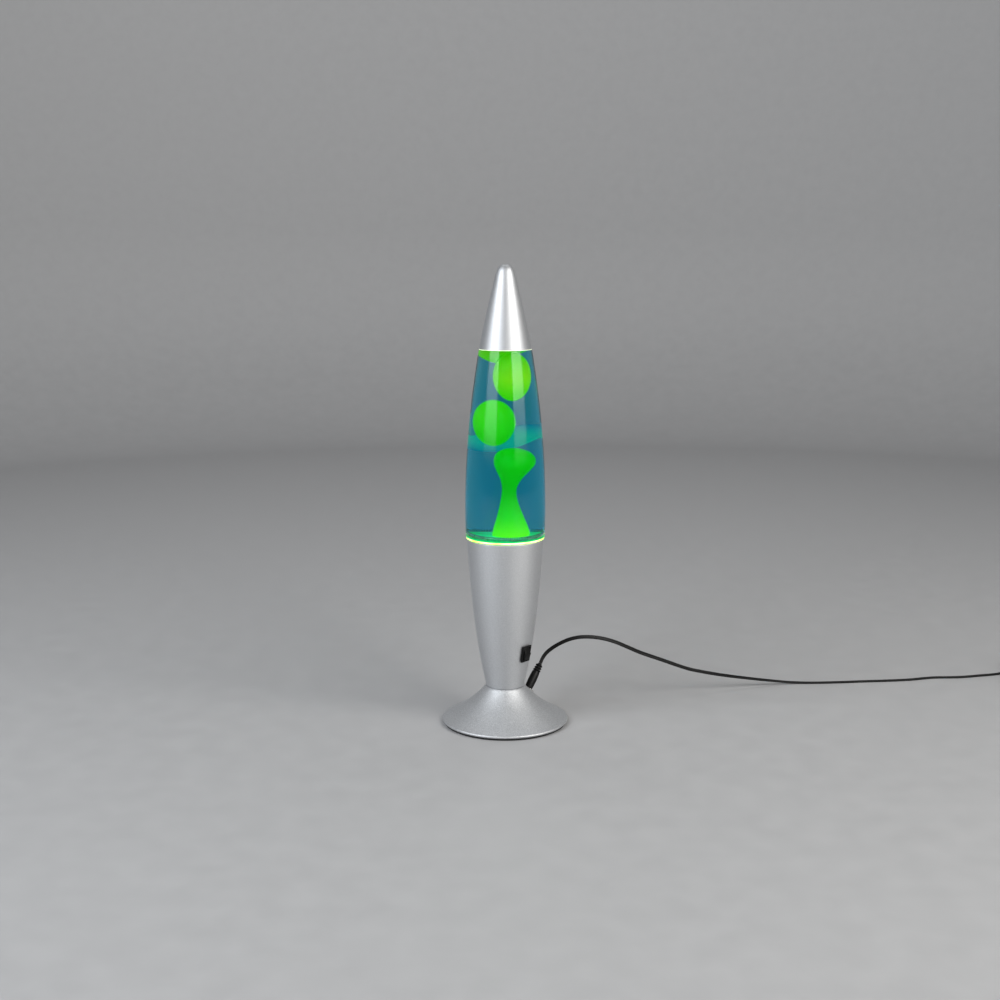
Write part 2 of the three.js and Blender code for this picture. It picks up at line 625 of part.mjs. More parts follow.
piece("jack_body", revolve([
  [0, -JACK.length],
  [JACK.body, -JACK.length],
  [JACK.body, jackFlangeTop - 1.5],
  [JACK.flange, jackFlangeTop - 1.5],
  [JACK.flange, jackFlangeTop],
  [JACK.thread, jackFlangeTop],
  [JACK.thread, JACK.proud],
  [jackBore, JACK.proud],
  [jackBore, jackBoreFloor],
  [0, jackBoreFloor],
], 16), BLACK_PLASTIC, jackGroup);
piece(
  "jack_nut",
  hexNut(JACK_NUT.flats, JACK.thread + GAP, JACK_NUT.lift, JACK_NUT.lift + JACK_NUT.height),
  BRIGHT_NICKEL,
  jackGroup,
);
piece("jack_pin", rod(PIN.radius, jackBoreFloor + GAP, JACK.proud - PIN.recess, 0, 0, 8), COPPER, jackGroup);
piece(
  "plug_barrel",
  ring(BARREL.bore, BARREL.radius, plugFace - GAP - BARREL.length, plugFace - GAP, 12),
  BRIGHT_NICKEL,
  jackGroup,
);

// A round handle that swells to its middle, then a strain relief of ribs that shrink to the lead.
function plugBody() {
  const end = plugFace + PLUG.length;
  const reliefStart = end - PLUG.ribs * PLUG.ribPitch - 1.5;
  const handle = new THREE.CubicBezierCurve(
    point(0.9 * PLUG.radius, plugFace + 0.6),
    point(1.04 * PLUG.radius, plugFace + 7),
    point(1.02 * PLUG.radius, reliefStart - 6),
    point(0.74 * PLUG.radius, reliefStart),
  );
  const ribs = Array.from({ length: PLUG.ribs }, (_, i) => {
    const low = reliefStart + i * PLUG.ribPitch;
    const swell = THREE.MathUtils.lerp(0.74 * PLUG.radius, PLUG.neck + 0.5, (i + 1) / PLUG.ribs);
    const groove = swell - 0.55;
    return [[groove, low + 0.3], [groove, low + 0.9], [swell, low + 1.1], [swell, low + 2.2]];
  }).flat();
  return revolve([
    [0, plugFace],
    [0.78 * PLUG.radius, plugFace],
    ...pairs(handle, CURVE_STEPS),
    ...ribs,
    [PLUG.neck, end],
    [0, end],
  ], 16);
}
piece("plug_body", plugBody(), BLACK_PLASTIC, jackGroup);

// ---- Wires inside ----

// Each wire ends beside the piece it is soldered to, and climbs clear of the nuts on the tube.
const jackTail = inFrame(jackFrame, 0, 0, -JACK.length - GAP - WIRE.radius);
const beside = (place, dx, dy, dz) => [place[0] + dx, place[1] + dy, place[2] + dz];
const wireTrack = NUT.flats / Math.sqrt(3) + 4;
const polar = (azimuth, radius, z) => [
  radius * Math.cos(radians(azimuth)),
  radius * Math.sin(radians(azimuth)),
  z,
];
const throughGrommet = (side) => [footUnderside - 12, footUnderside - 4, stemFloor + 4].map((z) => [
  grommetX + side * 0.8,
  grommetY - side * 0.8,
  z,
]);
const holderSide = HOLDER.depth / 2 + GAP + WIRE.radius;
const wireGap = TERMINAL.spacing / 2 + TERMINAL.size[1] / 2 + GAP + WIRE.radius;
const terminalMiddle = terminalDepths + TERMINAL.size[2] / 2;
const besideTerminal = (side, away, deeper) =>
  inFrame(switchFrame, 0, side * (wireGap + away), terminalMiddle - deeper);
const wire = (name, route, look) =>
  piece(name, tubeAlong(route, WIRE.radius, WIRE.sides, WIRE.steps), look);

wire("wire_jack_to_lamp", [
  beside(jackTail, -1.5, 1.5, 0),
  beside(jackTail, -3, 1, -0.5),
  ...throughGrommet(-1),
  polar(65, wireTrack + 3, stemFloor + 22),
  polar(74, wireTrack + 2, bracketBottom - 6),
  [3, BRACKET.depth / 2 + 5, bracketTop - 4],
  [3, holderSide + 1.2, holderBottom + 3],
  [3, holderSide, holderBottom + 6],
], RED_WIRE);
wire("wire_jack_to_switch", [
  beside(jackTail, 1.5, -1.5, 0),
  beside(jackTail, -1, -3, -0.5),
  ...throughGrommet(1),
  polar(10, wireTrack + 1, stemFloor + 12),
  besideTerminal(-1, 5, 0.5),
  besideTerminal(-1, 1, 0.3),
  besideTerminal(-1, 0, 0),
], BLACK_WIRE);
wire("wire_switch_to_lamp", [
  besideTerminal(1, 0, 0),
  besideTerminal(1, 1, 0.3),
  besideTerminal(1, 7, 0.5),
  polar(-75, wireTrack + 1, bracketBottom - 6),
  [-3, -BRACKET.depth / 2 - 5, bracketTop - 4],
  [-3, -holderSide - 1.2, holderBottom + 3],
  [-3, -holderSide, holderBottom + 6],
], BLACK_WIRE);

// ---- The bottle ----

const spigot = stemInner(glassFloor) - GAP;
const glassInner = inset(glassCurve, GLASS.wall, CURVE_STEPS);
const innerFloorRadius = GLASS.bellyRadius - GLASS.wall - 2.5;
const shoulderInner = inset(shoulderCurve, GLASS.wall, 4).slice(1, -1);

// The inside of the bottle, from its floor to the top of its bore, pulled in by a margin.
function bottleInside(margin, top) {
  return [
    [0, liquidFloor + margin],
    [innerFloorRadius - margin, liquidFloor + margin],
    ...glassInner.filter(([, z]) => z > liquidFloor + 2).map(([r, z]) => [r - margin, z]),
    ...shoulderInner.map(([r, z]) => [Math.max(r, NECK.bore) - margin, z - margin]),
    [NECK.bore - margin, neckStart],
    [NECK.bore - margin, top],
  ];
}

function glassBottle() {
  const heelFoot = stemTop + GAP;
  const heel = new THREE.QuadraticBezierCurve(
    point(GLASS.bellyRadius - 0.9, heelFoot),
    point(GLASS.bellyRadius, heelFoot + 0.25 * GLASS.heel),
    point(GLASS.bellyRadius, bellyStart),
  );
  return revolve([
    [0, glassFloor],
    [spigot - 1.2, glassFloor],
    [spigot, glassFloor + 1.2],
    [spigot, heelFoot],
    ...pairs(heel, 2),
    ...pairs(glassCurve, CURVE_STEPS + 1).slice(1),
    ...pairs(shoulderCurve, 4),
    [NECK.radius, neckTop - NECK.finish],
    [NECK.radius + 0.5, neckTop - 0.7 * NECK.finish],
    [NECK.radius + 0.5, neckTop - 0.8],
    [NECK.radius - 0.4, neckTop],
    ...bottleInside(0, neckTop).reverse(),
  ]);
}
piece("glass_bottle", glassBottle(), CLEAR_GLASS);

function crownCap() {
  const inner = NECK.radius + 0.5 + GAP;
  const low = crownTop - CROWN.skirt;
  return revolve([
    [0, crownTop],
    [inner - 0.6, crownTop],
    [inner + CROWN.sheet, crownTop - 1],
    [inner + CROWN.sheet + CROWN.flare, low],
    [inner + CROWN.flare, low],
    [inner, crownTop - 1 - CROWN.sheet],
    [inner - 0.6, crownTop - CROWN.sheet],
    [0, crownTop - CROWN.sheet],
  ], 24);
}
piece("crown_cap", crownCap(), STEEL);
piece("crown_liner", rod(NECK.radius - 0.4, neckTop + GAP, neckTop + GAP + LINER.thickness), RUBBER);

// ---- The wax and the liquid ----

const afloat = ({ centre: [x, y, z], radii }) => ({ centre: [x, y, liquidFloor + z], radii });
const ballUpper = afloat(BALL_UPPER);
const ballLower = afloat(BALL_LOWER);
const topPool = afloat(TOP_POOL);
const backBlob = afloat(BACK_BLOB);

// The standing column swells from a narrow waist to a wide foot below and a round head above.
function columnProfile(grow) {
  const low = liquidFloor + GAP + GAP - grow;
  const waist = liquidFloor + COLUMN.height * COLUMN_LEVELS.waist;
  const head = liquidFloor + COLUMN.height * COLUMN_LEVELS.head;
  const top = liquidFloor + COLUMN.height;
  const spread = new THREE.CubicBezierCurve(
    point(COLUMN.baseRadius, low),
    point(0.8 * COLUMN.baseRadius, low + 0.3 * (waist - low)),
    point(COLUMN.waistRadius, low + 0.6 * (waist - low)),
    point(COLUMN.waistRadius, waist),
  );
  const swell = new THREE.CubicBezierCurve(
    point(COLUMN.waistRadius, waist),
    point(COLUMN.waistRadius, waist + 0.6 * (head - waist)),
    point(COLUMN.headRadius, head - 0.5 * (head - waist)),
    point(COLUMN.headRadius, head),
  );
  const dome = new THREE.CubicBezierCurve(
    point(COLUMN.headRadius, head),
    point(COLUMN.headRadius, head + 0.6 * (top - head)),
    point(0.5 * COLUMN.headRadius, top),
    point(0, top),
  );
  const outline = [...pairs(spread, 5), ...pairs(swell, 5).slice(1), ...pairs(dome, 4).slice(1)];
  return [
    [0, low],
    ...outline.map(([r, z]) => [r > 0 ? r + grow : 0, z + (z > head ? grow : 0)]),
  ];
}
const waxColumn = (grow) =>
  placed(revolve(columnProfile(grow), SMALL_SIDES), new THREE.Matrix4().makeTranslation(COLUMN.x, COLUMN.y, 0));

const liquidTop = neckTop - LIQUID.headspace;
const closedInside = (margin, top) => revolve([...bottleInside(margin, top), [0, top]]);
const poolShape = (grow) =>
  common(ellipsoid(topPool, grow), closedInside(WAX_INSET + GAP - grow, liquidTop - 1));

piece("wax_column", waxColumn(0), GREEN_WAX);
piece("wax_ball_upper", ellipsoid(ballUpper), GREEN_WAX);
piece("wax_ball_lower", ellipsoid(ballLower), GREEN_WAX);
piece("wax_top_pool", cut(poolShape(0), ellipsoid(ballUpper, 0.5)), GREEN_WAX);
piece("wax_back_blob", ellipsoid(backBlob), GREEN_WAX);

const heatRingLow = liquidFloor + GAP;
piece(
  "wax_heat_ring",
  ring(HEAT_RING.inner, HEAT_RING.outer, heatRingLow, heatRingLow + HEAT_RING.height, SIDES),
  STEEL,
);

function bottleLiquid() {
  const columnHead = [COLUMN.x, COLUMN.y, liquidFloor + COLUMN.height * COLUMN_LEVELS.head];
  return cut(
    closedInside(GAP, liquidTop),
    waxColumn(GAP),
    ellipsoid(ballUpper, GAP),
    ellipsoid(ballLower, GAP),
    ellipsoid(backBlob, GAP),
    poolShape(GAP),
    ring(HEAT_RING.inner - GAP, HEAT_RING.outer + GAP, liquidFloor, heatRingLow + HEAT_RING.height + GAP, SIDES),
    rodBetween(ballUpper.centre, ballLower.centre, DUCT),
    rodBetween(ballLower.centre, columnHead, DUCT),
    rodBetween(columnHead, backBlob.centre, DUCT),
    rod(DUCT, topPool.centre[2], liquidTop + 1, 0, 0, 8),
  );
}
piece("bottle_liquid", bottleLiquid(), TEAL_LIQUID);

// ---- The cone cap ----

function capShell() {
  const outer = [...pairs(capCurve, CURVE_STEPS), ...pairs(noseCurve, CURVE_STEPS + 1).slice(1)];
  const inner = [
    ...inset(capCurve, CAP.wall, CURVE_STEPS).slice(1),
    ...inset(noseCurve, CAP.wall, CURVE_STEPS + 1).slice(1, -1),
  ].filter(([r, z]) => r > 0.5 && z < capTop - CAP.wall);
  return revolve([
    [0, capTop - CAP.wall],
    ...inner.reverse(),
    [capRadius - CAP.wall, capBottom],
    ...outer,
  ]);
}
piece("cap_shell", capShell(), SATIN_SILVER);

// ---- The lead, its coil and the supply ----

piece("cord_lead", tubeAlong(LEAD_ROUTE, LEAD.radius, LEAD.sides, LEAD.steps), BLACK_PLASTIC);
piece("cord_tail", tubeAlong(TAIL_ROUTE, LEAD.radius, LEAD.sides, LEAD.tailSteps), BLACK_PLASTIC);

const [coilX, coilY] = COIL.centre;
const coilHalfWidth = (COIL.columns * LEAD.width) / 2;
const coilInner = COIL.turnRadius - coilHalfWidth;
const coilOuter = COIL.turnRadius + coilHalfWidth;
const coilHeight = COIL.layers * LEAD.width;
const coilPlace = new THREE.Matrix4().makeTranslation(coilX, coilY, 0);
piece("cord_coil", placed(ring(coilInner, coilOuter, 0.1, coilHeight, SIDES), coilPlace), BLACK_PLASTIC);

// The tie is a flat band round one side of the coil.
function cordTie() {
  const middle = [0, -COIL.turnRadius, coilHeight / 2 + 0.1];
  const hollow = [TIE.width + 2, 2 * coilHalfWidth + 2 * GAP + 1, coilHeight + 2 * GAP];
  const top = coilHeight + GAP + TIE.sheet;
  const band = block([TIE.width, hollow[1] + 2 * TIE.sheet, top], [middle[0], middle[1], top / 2]);
  const open = block([hollow[0], hollow[1], top - TIE.sheet + 1], [
    middle[0],
    middle[1],
    (top - TIE.sheet - 1) / 2,
  ]);
  return placed(cut(band, open), coilPlace);
}
piece("cord_tie", cordTie(), BLACK_PLASTIC);

const [adapterX, adapterY] = ADAPTER.centre;

// Half of the supply's case: a rounded rectangle extruded upwards.
function adapterHalf(low) {
  const outline = new THREE.Shape();
  const [w, l, c] = [ADAPTER.width / 2, ADAPTER.length / 2, ADAPTER.corner];
  const corners = [[w - c, l - c, 0], [c - w, l - c, 90], [c - w, c - l, 180], [w - c, c - l, 270]];
  corners.forEach(([x, y, start], i) => {
    [0, 30, 60, 90].forEach((step, k) => {
      const angle = radians(start + step);
      const [px, py] = [x + c * Math.cos(angle), y + c * Math.sin(angle)];
      if (i === 0 && k === 0) outline.moveTo(px, py);
      else outline.lineTo(px, py);
    });
  });
  outline.closePath();
  const geometry = new THREE.ExtrudeGeometry(outline, { depth: ADAPTER.half - GAP / 2, bevelEnabled: false });
  geometry.translate(adapterX, adapterY, low);
  return outward(geometry);
}
const adapterLow = 0.1;
const adapterTop = adapterLow + 2 * ADAPTER.half + GAP / 2;
piece("adapter_back", adapterHalf(adapterLow), BLACK_PLASTIC);
piece("adapter_front", adapterHalf(adapterLow + ADAPTER.half + GAP / 2), BLACK_PLASTIC);

// A tapered strain relief on the supply, from its case to the tail of the lead.
function adapterRelief() {
  const low = ADAPTER.length / 2 + GAP;
  const sleeve = revolve([
    [0, low],
    [3.6, low],
    [2.2, low + ADAPTER.reliefLength],
    [0, low + ADAPTER.reliefLength],
  ], 12);
  sleeve.rotateX(-Math.PI / 2);
  sleeve.translate(adapterX, adapterY, TAIL_ROUTE[TAIL_ROUTE.length - 1][2]);
  return outward(sleeve);
}
piece("adapter_relief", adapterRelief(), BLACK_PLASTIC);
[-1, 1].forEach((side, i) => {
  const x = adapterX + (side * ADAPTER_PIN.spacing) / 2;
  const low = adapterTop + GAP;
  const pin = rod(ADAPTER_PIN.radius, low, low + ADAPTER_PIN.length, x, adapterY, 12);
  piece(`adapter_pin_${i + 1}`, pin, BRIGHT_NICKEL);
});

export default lamp;
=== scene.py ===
import json
import math

import bmesh
import bpy
import numpy as np
from mathutils import Matrix, Vector


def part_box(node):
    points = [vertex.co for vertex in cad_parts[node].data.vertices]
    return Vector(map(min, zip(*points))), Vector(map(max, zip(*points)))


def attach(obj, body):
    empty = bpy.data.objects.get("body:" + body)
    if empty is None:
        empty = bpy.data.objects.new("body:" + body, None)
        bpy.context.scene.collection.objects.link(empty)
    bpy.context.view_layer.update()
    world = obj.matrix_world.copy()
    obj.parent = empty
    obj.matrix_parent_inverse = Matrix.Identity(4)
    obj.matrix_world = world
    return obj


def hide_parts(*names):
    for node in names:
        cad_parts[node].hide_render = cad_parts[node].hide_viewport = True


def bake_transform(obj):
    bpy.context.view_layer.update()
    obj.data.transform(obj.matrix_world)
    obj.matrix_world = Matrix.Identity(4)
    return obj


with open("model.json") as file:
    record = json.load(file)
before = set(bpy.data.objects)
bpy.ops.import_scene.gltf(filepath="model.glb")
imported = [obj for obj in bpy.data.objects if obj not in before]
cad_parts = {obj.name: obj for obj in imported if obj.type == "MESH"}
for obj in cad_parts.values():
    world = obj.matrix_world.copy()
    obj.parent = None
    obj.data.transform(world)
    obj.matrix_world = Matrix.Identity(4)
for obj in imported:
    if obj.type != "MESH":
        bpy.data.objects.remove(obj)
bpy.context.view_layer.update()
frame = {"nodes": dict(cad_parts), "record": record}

# A rocket lava lamp on a pale studio floor. Sizes are in metres, worked out from millimetres.

MM = 0.001

# ---- Sizes of the lamp, in millimetres ----

GAP = 0.3
PAD_RADIUS, PAD_THICKNESS = 56.4, 1.6
FOOT_RADIUS, FOOT_TOP_RADIUS, FOOT_BOTTOM, FOOT_TOP = 58.0, 18.0, 1.9, 34.6
FOOT_RIM, FOOT_WALL, FOOT_MOUTH, FOOT_RECESS = 1.3, 1.6, 54.4, 4.2
STEM_BOTTOM, STEM_TOP, STEM_WALL, STEM_FLOOR, STEM_LIP = 34.9, 173.0, 1.2, 2.0, 0.35
LEDGE_TOP, LEDGE_THICKNESS, LEDGE_BORE, LEDGE_WALL, CUP_MOUTH = 164.0, 1.5, 26.0, 33.2, 34.0
TUBE_HOLE, JACK_HOLE = 5.3, 4.1
GLASS_FLOOR, GLASS_BASE_RADIUS, HEEL, SHOULDER, GLASS_WALL = 166.6, 33.2, 178.0, 343.6, 2.4
LIQUID_FLOOR, LIQUID_TOP = 175.8, 363.8
NECK_RADIUS, NECK_BORE, NECK_START, NECK_TOP = 12.8, 9.2, 359.6, 370.8
CAP_BOTTOM, CAP_MOUTH, NOSE_START, NOSE_RADIUS, CAP_TOP, CAP_WALL = 343.9, 23.6, 401.0, 10.9, 418.2, 1.2
CROWN_TOP, CROWN_SKIRT, CROWN_FLUTES, FLUTE_DEPTH = 372.3, 5.8, 21, 0.75
BULB_RADIUS, FILAMENT_HEIGHT, FILAMENT_TURNS = 4.7, 18.0, 12
LAP = 0.15  # how far the liquid reaches into the glass, so that no air shows between them

SWITCH_AZIMUTH, SWITCH_HEIGHT, SWITCH_RADIUS, SWITCH_LEAN = -41.8, 69.0, 24.19, 9.4429
WINDOW_WIDTH, WINDOW_HEIGHT = 9.6, 13.8
JACK_POINT = np.array([20.740, 23.034, 21.292])
JACK_AXIS = np.array([0.431728, 0.479483, 0.764007])
PLUG_START, PLUG_LENGTH, PLUG_RADIUS, PLUG_NECK, PLUG_RELIEF = 2.7, 26.6, 4.0, 1.7, 9.0

LEAD_WIDTH, LEAD_THICKNESS, LEAD_LENGTH = 3.6, 1.8, 1500.0
COIL_CENTRE, COIL_OUTER_TURN, COIL_INNER_TURN, COIL_TURNS = (552.0, 150.0), 21.8, 18.2, 7
LANDED = 20  # the point of the route where the lead comes down on the table
COIL_FROM, COIL_TO = 100.0, 0.0  # degrees round the coil where the lead joins and leaves it
LEAD_ROUTE = [
    (33.6, 37.3, 44), (35.6, 39.6, 47.8), (39.6, 42, 52.8), (45.4, 43.6, 57.2), (52.4, 44.6, 61.2),
    (60, 45.6, 64.4), (69, 47, 66.4), (80.8, 49, 66.4), (93.5, 51.5, 64.2), (106, 54.8, 59.8),
    (118.4, 58.6, 53.6), (131.5, 63, 46.8), (144.6, 67.6, 41), (157.4, 72.1, 35.4), (170.3, 76.6, 29.6),
    (181.5, 80.5, 25), (194, 84.5, 21.2), (211, 89.5, 16.8), (237, 97.5, 11), (265, 105.5, 5.6),
    (291.5, 111.5, 1.7), (313, 112.5, 1), (336, 114, 1), (363, 117, 1), (388, 119.5, 1),
    (412, 123, 1), (438, 130, 1), (465, 131.5, 1), (490, 137.5, 1), (510, 143.5, 1),
    (523, 153, 1), (532, 165.8, 1),
]
TAIL_ROUTE = [
    (577.1, 149.5, 12.6), (577.4, 143.5, 12.3), (575.6, 136.5, 11.2), (571, 130, 9.8), (565, 125.4, 8.6),
    (562, 119, 8),
]
INTO_SUPPLY = (562, 109, 8)  # where the lead stops, inside the supply's strain relief

# Wax: each blob's centre, half sizes, unevenness and tilt, and (height, radius, shift to the right) up
# the column.
WAX_BLOBS = {
    "wax_ball_upper": ((5.0, -4.6, 319.5), (13.6, 13.4, 21.4), 0.02, 0.0),
    "wax_ball_lower": ((-8.2, -2.5, 278.5), (14.9, 16.4, 20.4), 0.02, 0.0),
    "wax_back_blob": ((0.0, 19.0, 262.0), (20.0, 8.0, 10.5), 0.05, 0.32),
}
WAX_COLUMN = [
    (176.2, 0.0, 4.0), (176.2, 9.5, 4.0), (176.3, 12.6, 4.0), (178.5, 12.9, 4.0), (184.0, 12.0, 3.9),
    (193.0, 9.6, 3.5), (203.0, 7.1, 2.9), (213.0, 5.3, 2.5), (220.5, 5.2, 2.8), (228.5, 7.6, 4.0),
    (235.5, 11.6, 5.5), (241.5, 14.4, 6.6), (247.0, 14.2, 6.4), (251.8, 11.4, 5.6), (254.6, 7.0, 4.9),
    (255.8, 3.0, 4.6), (256.0, 0.0, 4.6),
]

CAMERA_PLACE = (-4.8, -1238.0, 424.0)
CAMERA_DIP, LENS, SENSOR = 9.9, 50.0, 36.0


# ---- Finishes ----

def new_material(name):
    """A material, its node tree, its shader and its output."""
    material = bpy.data.materials.new(name)
    material.use_nodes = True
    tree = material.node_tree
    return material, tree, tree.nodes["Principled BSDF"], tree.nodes["Material Output"]


def fine_noise(tree, scale, detail=4.0, stretch=(1.0, 1.0, 1.0)):
    """Noise over the piece's own coordinates, drawn out along an axis where stretch is under one."""
    place = tree.nodes.new("ShaderNodeTexCoord")
    spread = tree.nodes.new("ShaderNodeMapping")
    spread.inputs["Scale"].default_value = stretch
    noise = tree.nodes.new("ShaderNodeTexNoise")
    noise.inputs["Scale"].default_value = scale
    noise.inputs["Detail"].default_value = detail
    tree.links.new(place.outputs["Object"], spread.inputs["Vector"])
    tree.links.new(spread.outputs["Vector"], noise.inputs["Vector"])
    return noise.outputs["Fac"]


def between(tree, factor, low, high, from_low=0.3, from_high=0.7):
    """A value that goes from low to high as the factor crosses its middle range."""
    ranged = tree.nodes.new("ShaderNodeMapRange")
    ranged.inputs["From Min"].default_value = from_low
    ranged.inputs["From Max"].default_value = from_high
    ranged.inputs["To Min"].default_value = low
    ranged.inputs["To Max"].default_value = high
    tree.links.new(factor, ranged.inputs["Value"])
    return ranged.outputs["Result"]


def colours_between(tree, factor, stops):
    """A colour that runs through the stops, each a place from 0 to 1 and a colour."""
    ramp = tree.nodes.new("ShaderNodeValToRGB")
    elements = ramp.color_ramp.elements
    while len(elements) < len(stops):
        elements.new(0.5)
    for element, (place, colour) in zip(elements, stops):
        element.position = place
        element.color = (*colour, 1.0)
    tree.links.new(factor, ramp.inputs["Fac"])
    return ramp.outputs["Color"]


def bump(tree, shader, height, strength, distance):
    """Raises the surface where the height is high, by up to a distance in metres."""
    raised = tree.nodes.new("ShaderNodeBump")
    raised.inputs["Strength"].default_value = strength
    raised.inputs["Distance"].default_value = distance
    tree.links.new(height, raised.inputs["Height"])
    tree.links.new(raised.outputs["Normal"], shader.inputs["Normal"])


def grained(name, dark, light, roughness, metallic=0.0, scale=900.0, depth=0.15, stretch=(1, 1, 1), **more):
    """A solid finish whose colour, roughness and height all follow one fine grain."""
    material, tree, shader, _ = new_material(name)
    grain = fine_noise(tree, scale, stretch=stretch)
    tree.links.new(colours_between(tree, grain, [(0.32, dark), (0.68, light)]), shader.inputs["Base Color"])
    tree.links.new(between(tree, grain, *roughness), shader.inputs["Roughness"])
    shader.inputs["Metallic"].default_value = metallic
    for socket, value in more.items():
        shader.inputs[socket.replace("_", " ")].default_value = value
    bump(tree, shader, grain, depth, 0.0002)
    return material


def clear(name, tint, ior, smear):
    """Clear glass with faint smears that change only how sharp its shine is."""
    material, tree, shader, _ = new_material(name)
    shader.inputs["Base Color"].default_value = (*tint, 1.0)
    shader.inputs["Transmission Weight"].default_value = 1.0
    shader.inputs["IOR"].default_value = ior
    haze = fine_noise(tree, 60.0, stretch=(1.0, 1.0, 0.3))
    tree.links.new(between(tree, haze, 0.0, smear), shader.inputs["Roughness"])
    return material


def dyed_liquid():
    """Water that soaks up red quickly, green slowly and blue hardly at all."""
    material, tree, shader, output = new_material("teal_liquid")
    shader.inputs["Base Color"].default_value = (0.92, 0.98, 1.0, 1.0)
    shader.inputs["Transmission Weight"].default_value = 1.0
    shader.inputs["IOR"].default_value = 1.34
    shader.inputs["Roughness"].default_value = 0.0
    soak = tree.nodes.new("ShaderNodeVolumeAbsorption")
    soak.inputs["Color"].default_value = (0.0, 0.85, 0.95, 1.0)
    soak.inputs["Density"].default_value = 60.0
    tree.links.new(soak.outputs["Volume"], output.inputs["Volume"])
    return material


def lit_wax(name, stops, base):
    """Wax lit from below. Each stop is a height in millimetres and the colour that glows there."""
    material, tree, shader, _ = new_material(name)
    place = tree.nodes.new("ShaderNodeTexCoord")
    parts = tree.nodes.new("ShaderNodeSeparateXYZ")
    tree.links.new(place.outputs["Object"], parts.inputs["Vector"])
    low, high = stops[0][0], stops[-1][0]
    rise = between(tree, parts.outputs["Z"], 0.0, 1.0, low * MM, high * MM)
    glow = [((height - low) / (high - low), colour) for height, colour in stops]
    tree.links.new(colours_between(tree, rise, glow), shader.inputs["Emission Color"])
    shader.inputs["Emission Strength"].default_value = 1.0
    shader.inputs["Specular IOR Level"].default_value = 0.1
    cloud = fine_noise(tree, 90.0)
    paler = tuple(min(1.0, 1.25 * part) for part in base)
    tree.links.new(colours_between(tree, cloud, [(0.3, base), (0.7, paler)]), shader.inputs["Base Color"])
    tree.links.new(between(tree, cloud, 0.35, 0.5), shader.inputs["Roughness"])
    bump(tree, shader, cloud, 0.05, 0.001)
    return material


def far_wax():
    """Wax far back in the bottle: it glows at its middle and sinks into the liquid's colour round it."""
    material, tree, shader, _ = new_material("far_wax")
    place = tree.nodes.new("ShaderNodeTexCoord")
    centred = tree.nodes.new("ShaderNodeMapping")
    centred.vector_type = "TEXTURE"
    (x, y, z), (wide, deep, high), *_ = WAX_BLOBS["wax_back_blob"]
    centred.inputs["Location"].default_value = (x * MM, y * MM, z * MM)
    centred.inputs["Scale"].default_value = (wide * 1.5 * MM, deep * 3 * MM, high * 1.4 * MM)
    away = tree.nodes.new("ShaderNodeTexGradient")
    away.gradient_type = "SPHERICAL"
    tree.links.new(place.outputs["Object"], centred.inputs["Vector"])
    tree.links.new(centred.outputs["Vector"], away.inputs["Vector"])
    tree.links.new(
        colours_between(tree, away.outputs["Fac"], [
            (0.05, (0.0, 0.21, 0.26)), (0.25, (0.0, 0.33, 0.27)), (0.5, (0.0, 0.46, 0.26))]),
        shader.inputs["Emission Color"])
    shader.inputs["Emission Strength"].default_value = 1.0
    shader.inputs["Base Color"].default_value = (0.0, 0.05, 0.03, 1.0)
    shader.inputs["Specular IOR Level"].default_value = 0.0
    cloud = fine_noise(tree, 90.0)
    tree.links.new(between(tree, cloud, 0.6, 0.8), shader.inputs["Roughness"])
    return material


def glowing(name, dim, bright, strength):
    """A lit surface that wavers between two colours from place to place."""
    material, tree, shader, _ = new_material(name)
    waver = fine_noise(tree, 45.0, 2.0)
    colour = colours_between(tree, waver, [(0.38, dim), (0.62, bright)])
    tree.links.new(colour, shader.inputs["Emission Color"])
    tree.links.new(colour, shader.inputs["Base Color"])
    shader.inputs["Emission Strength"].default_value = strength
    return material


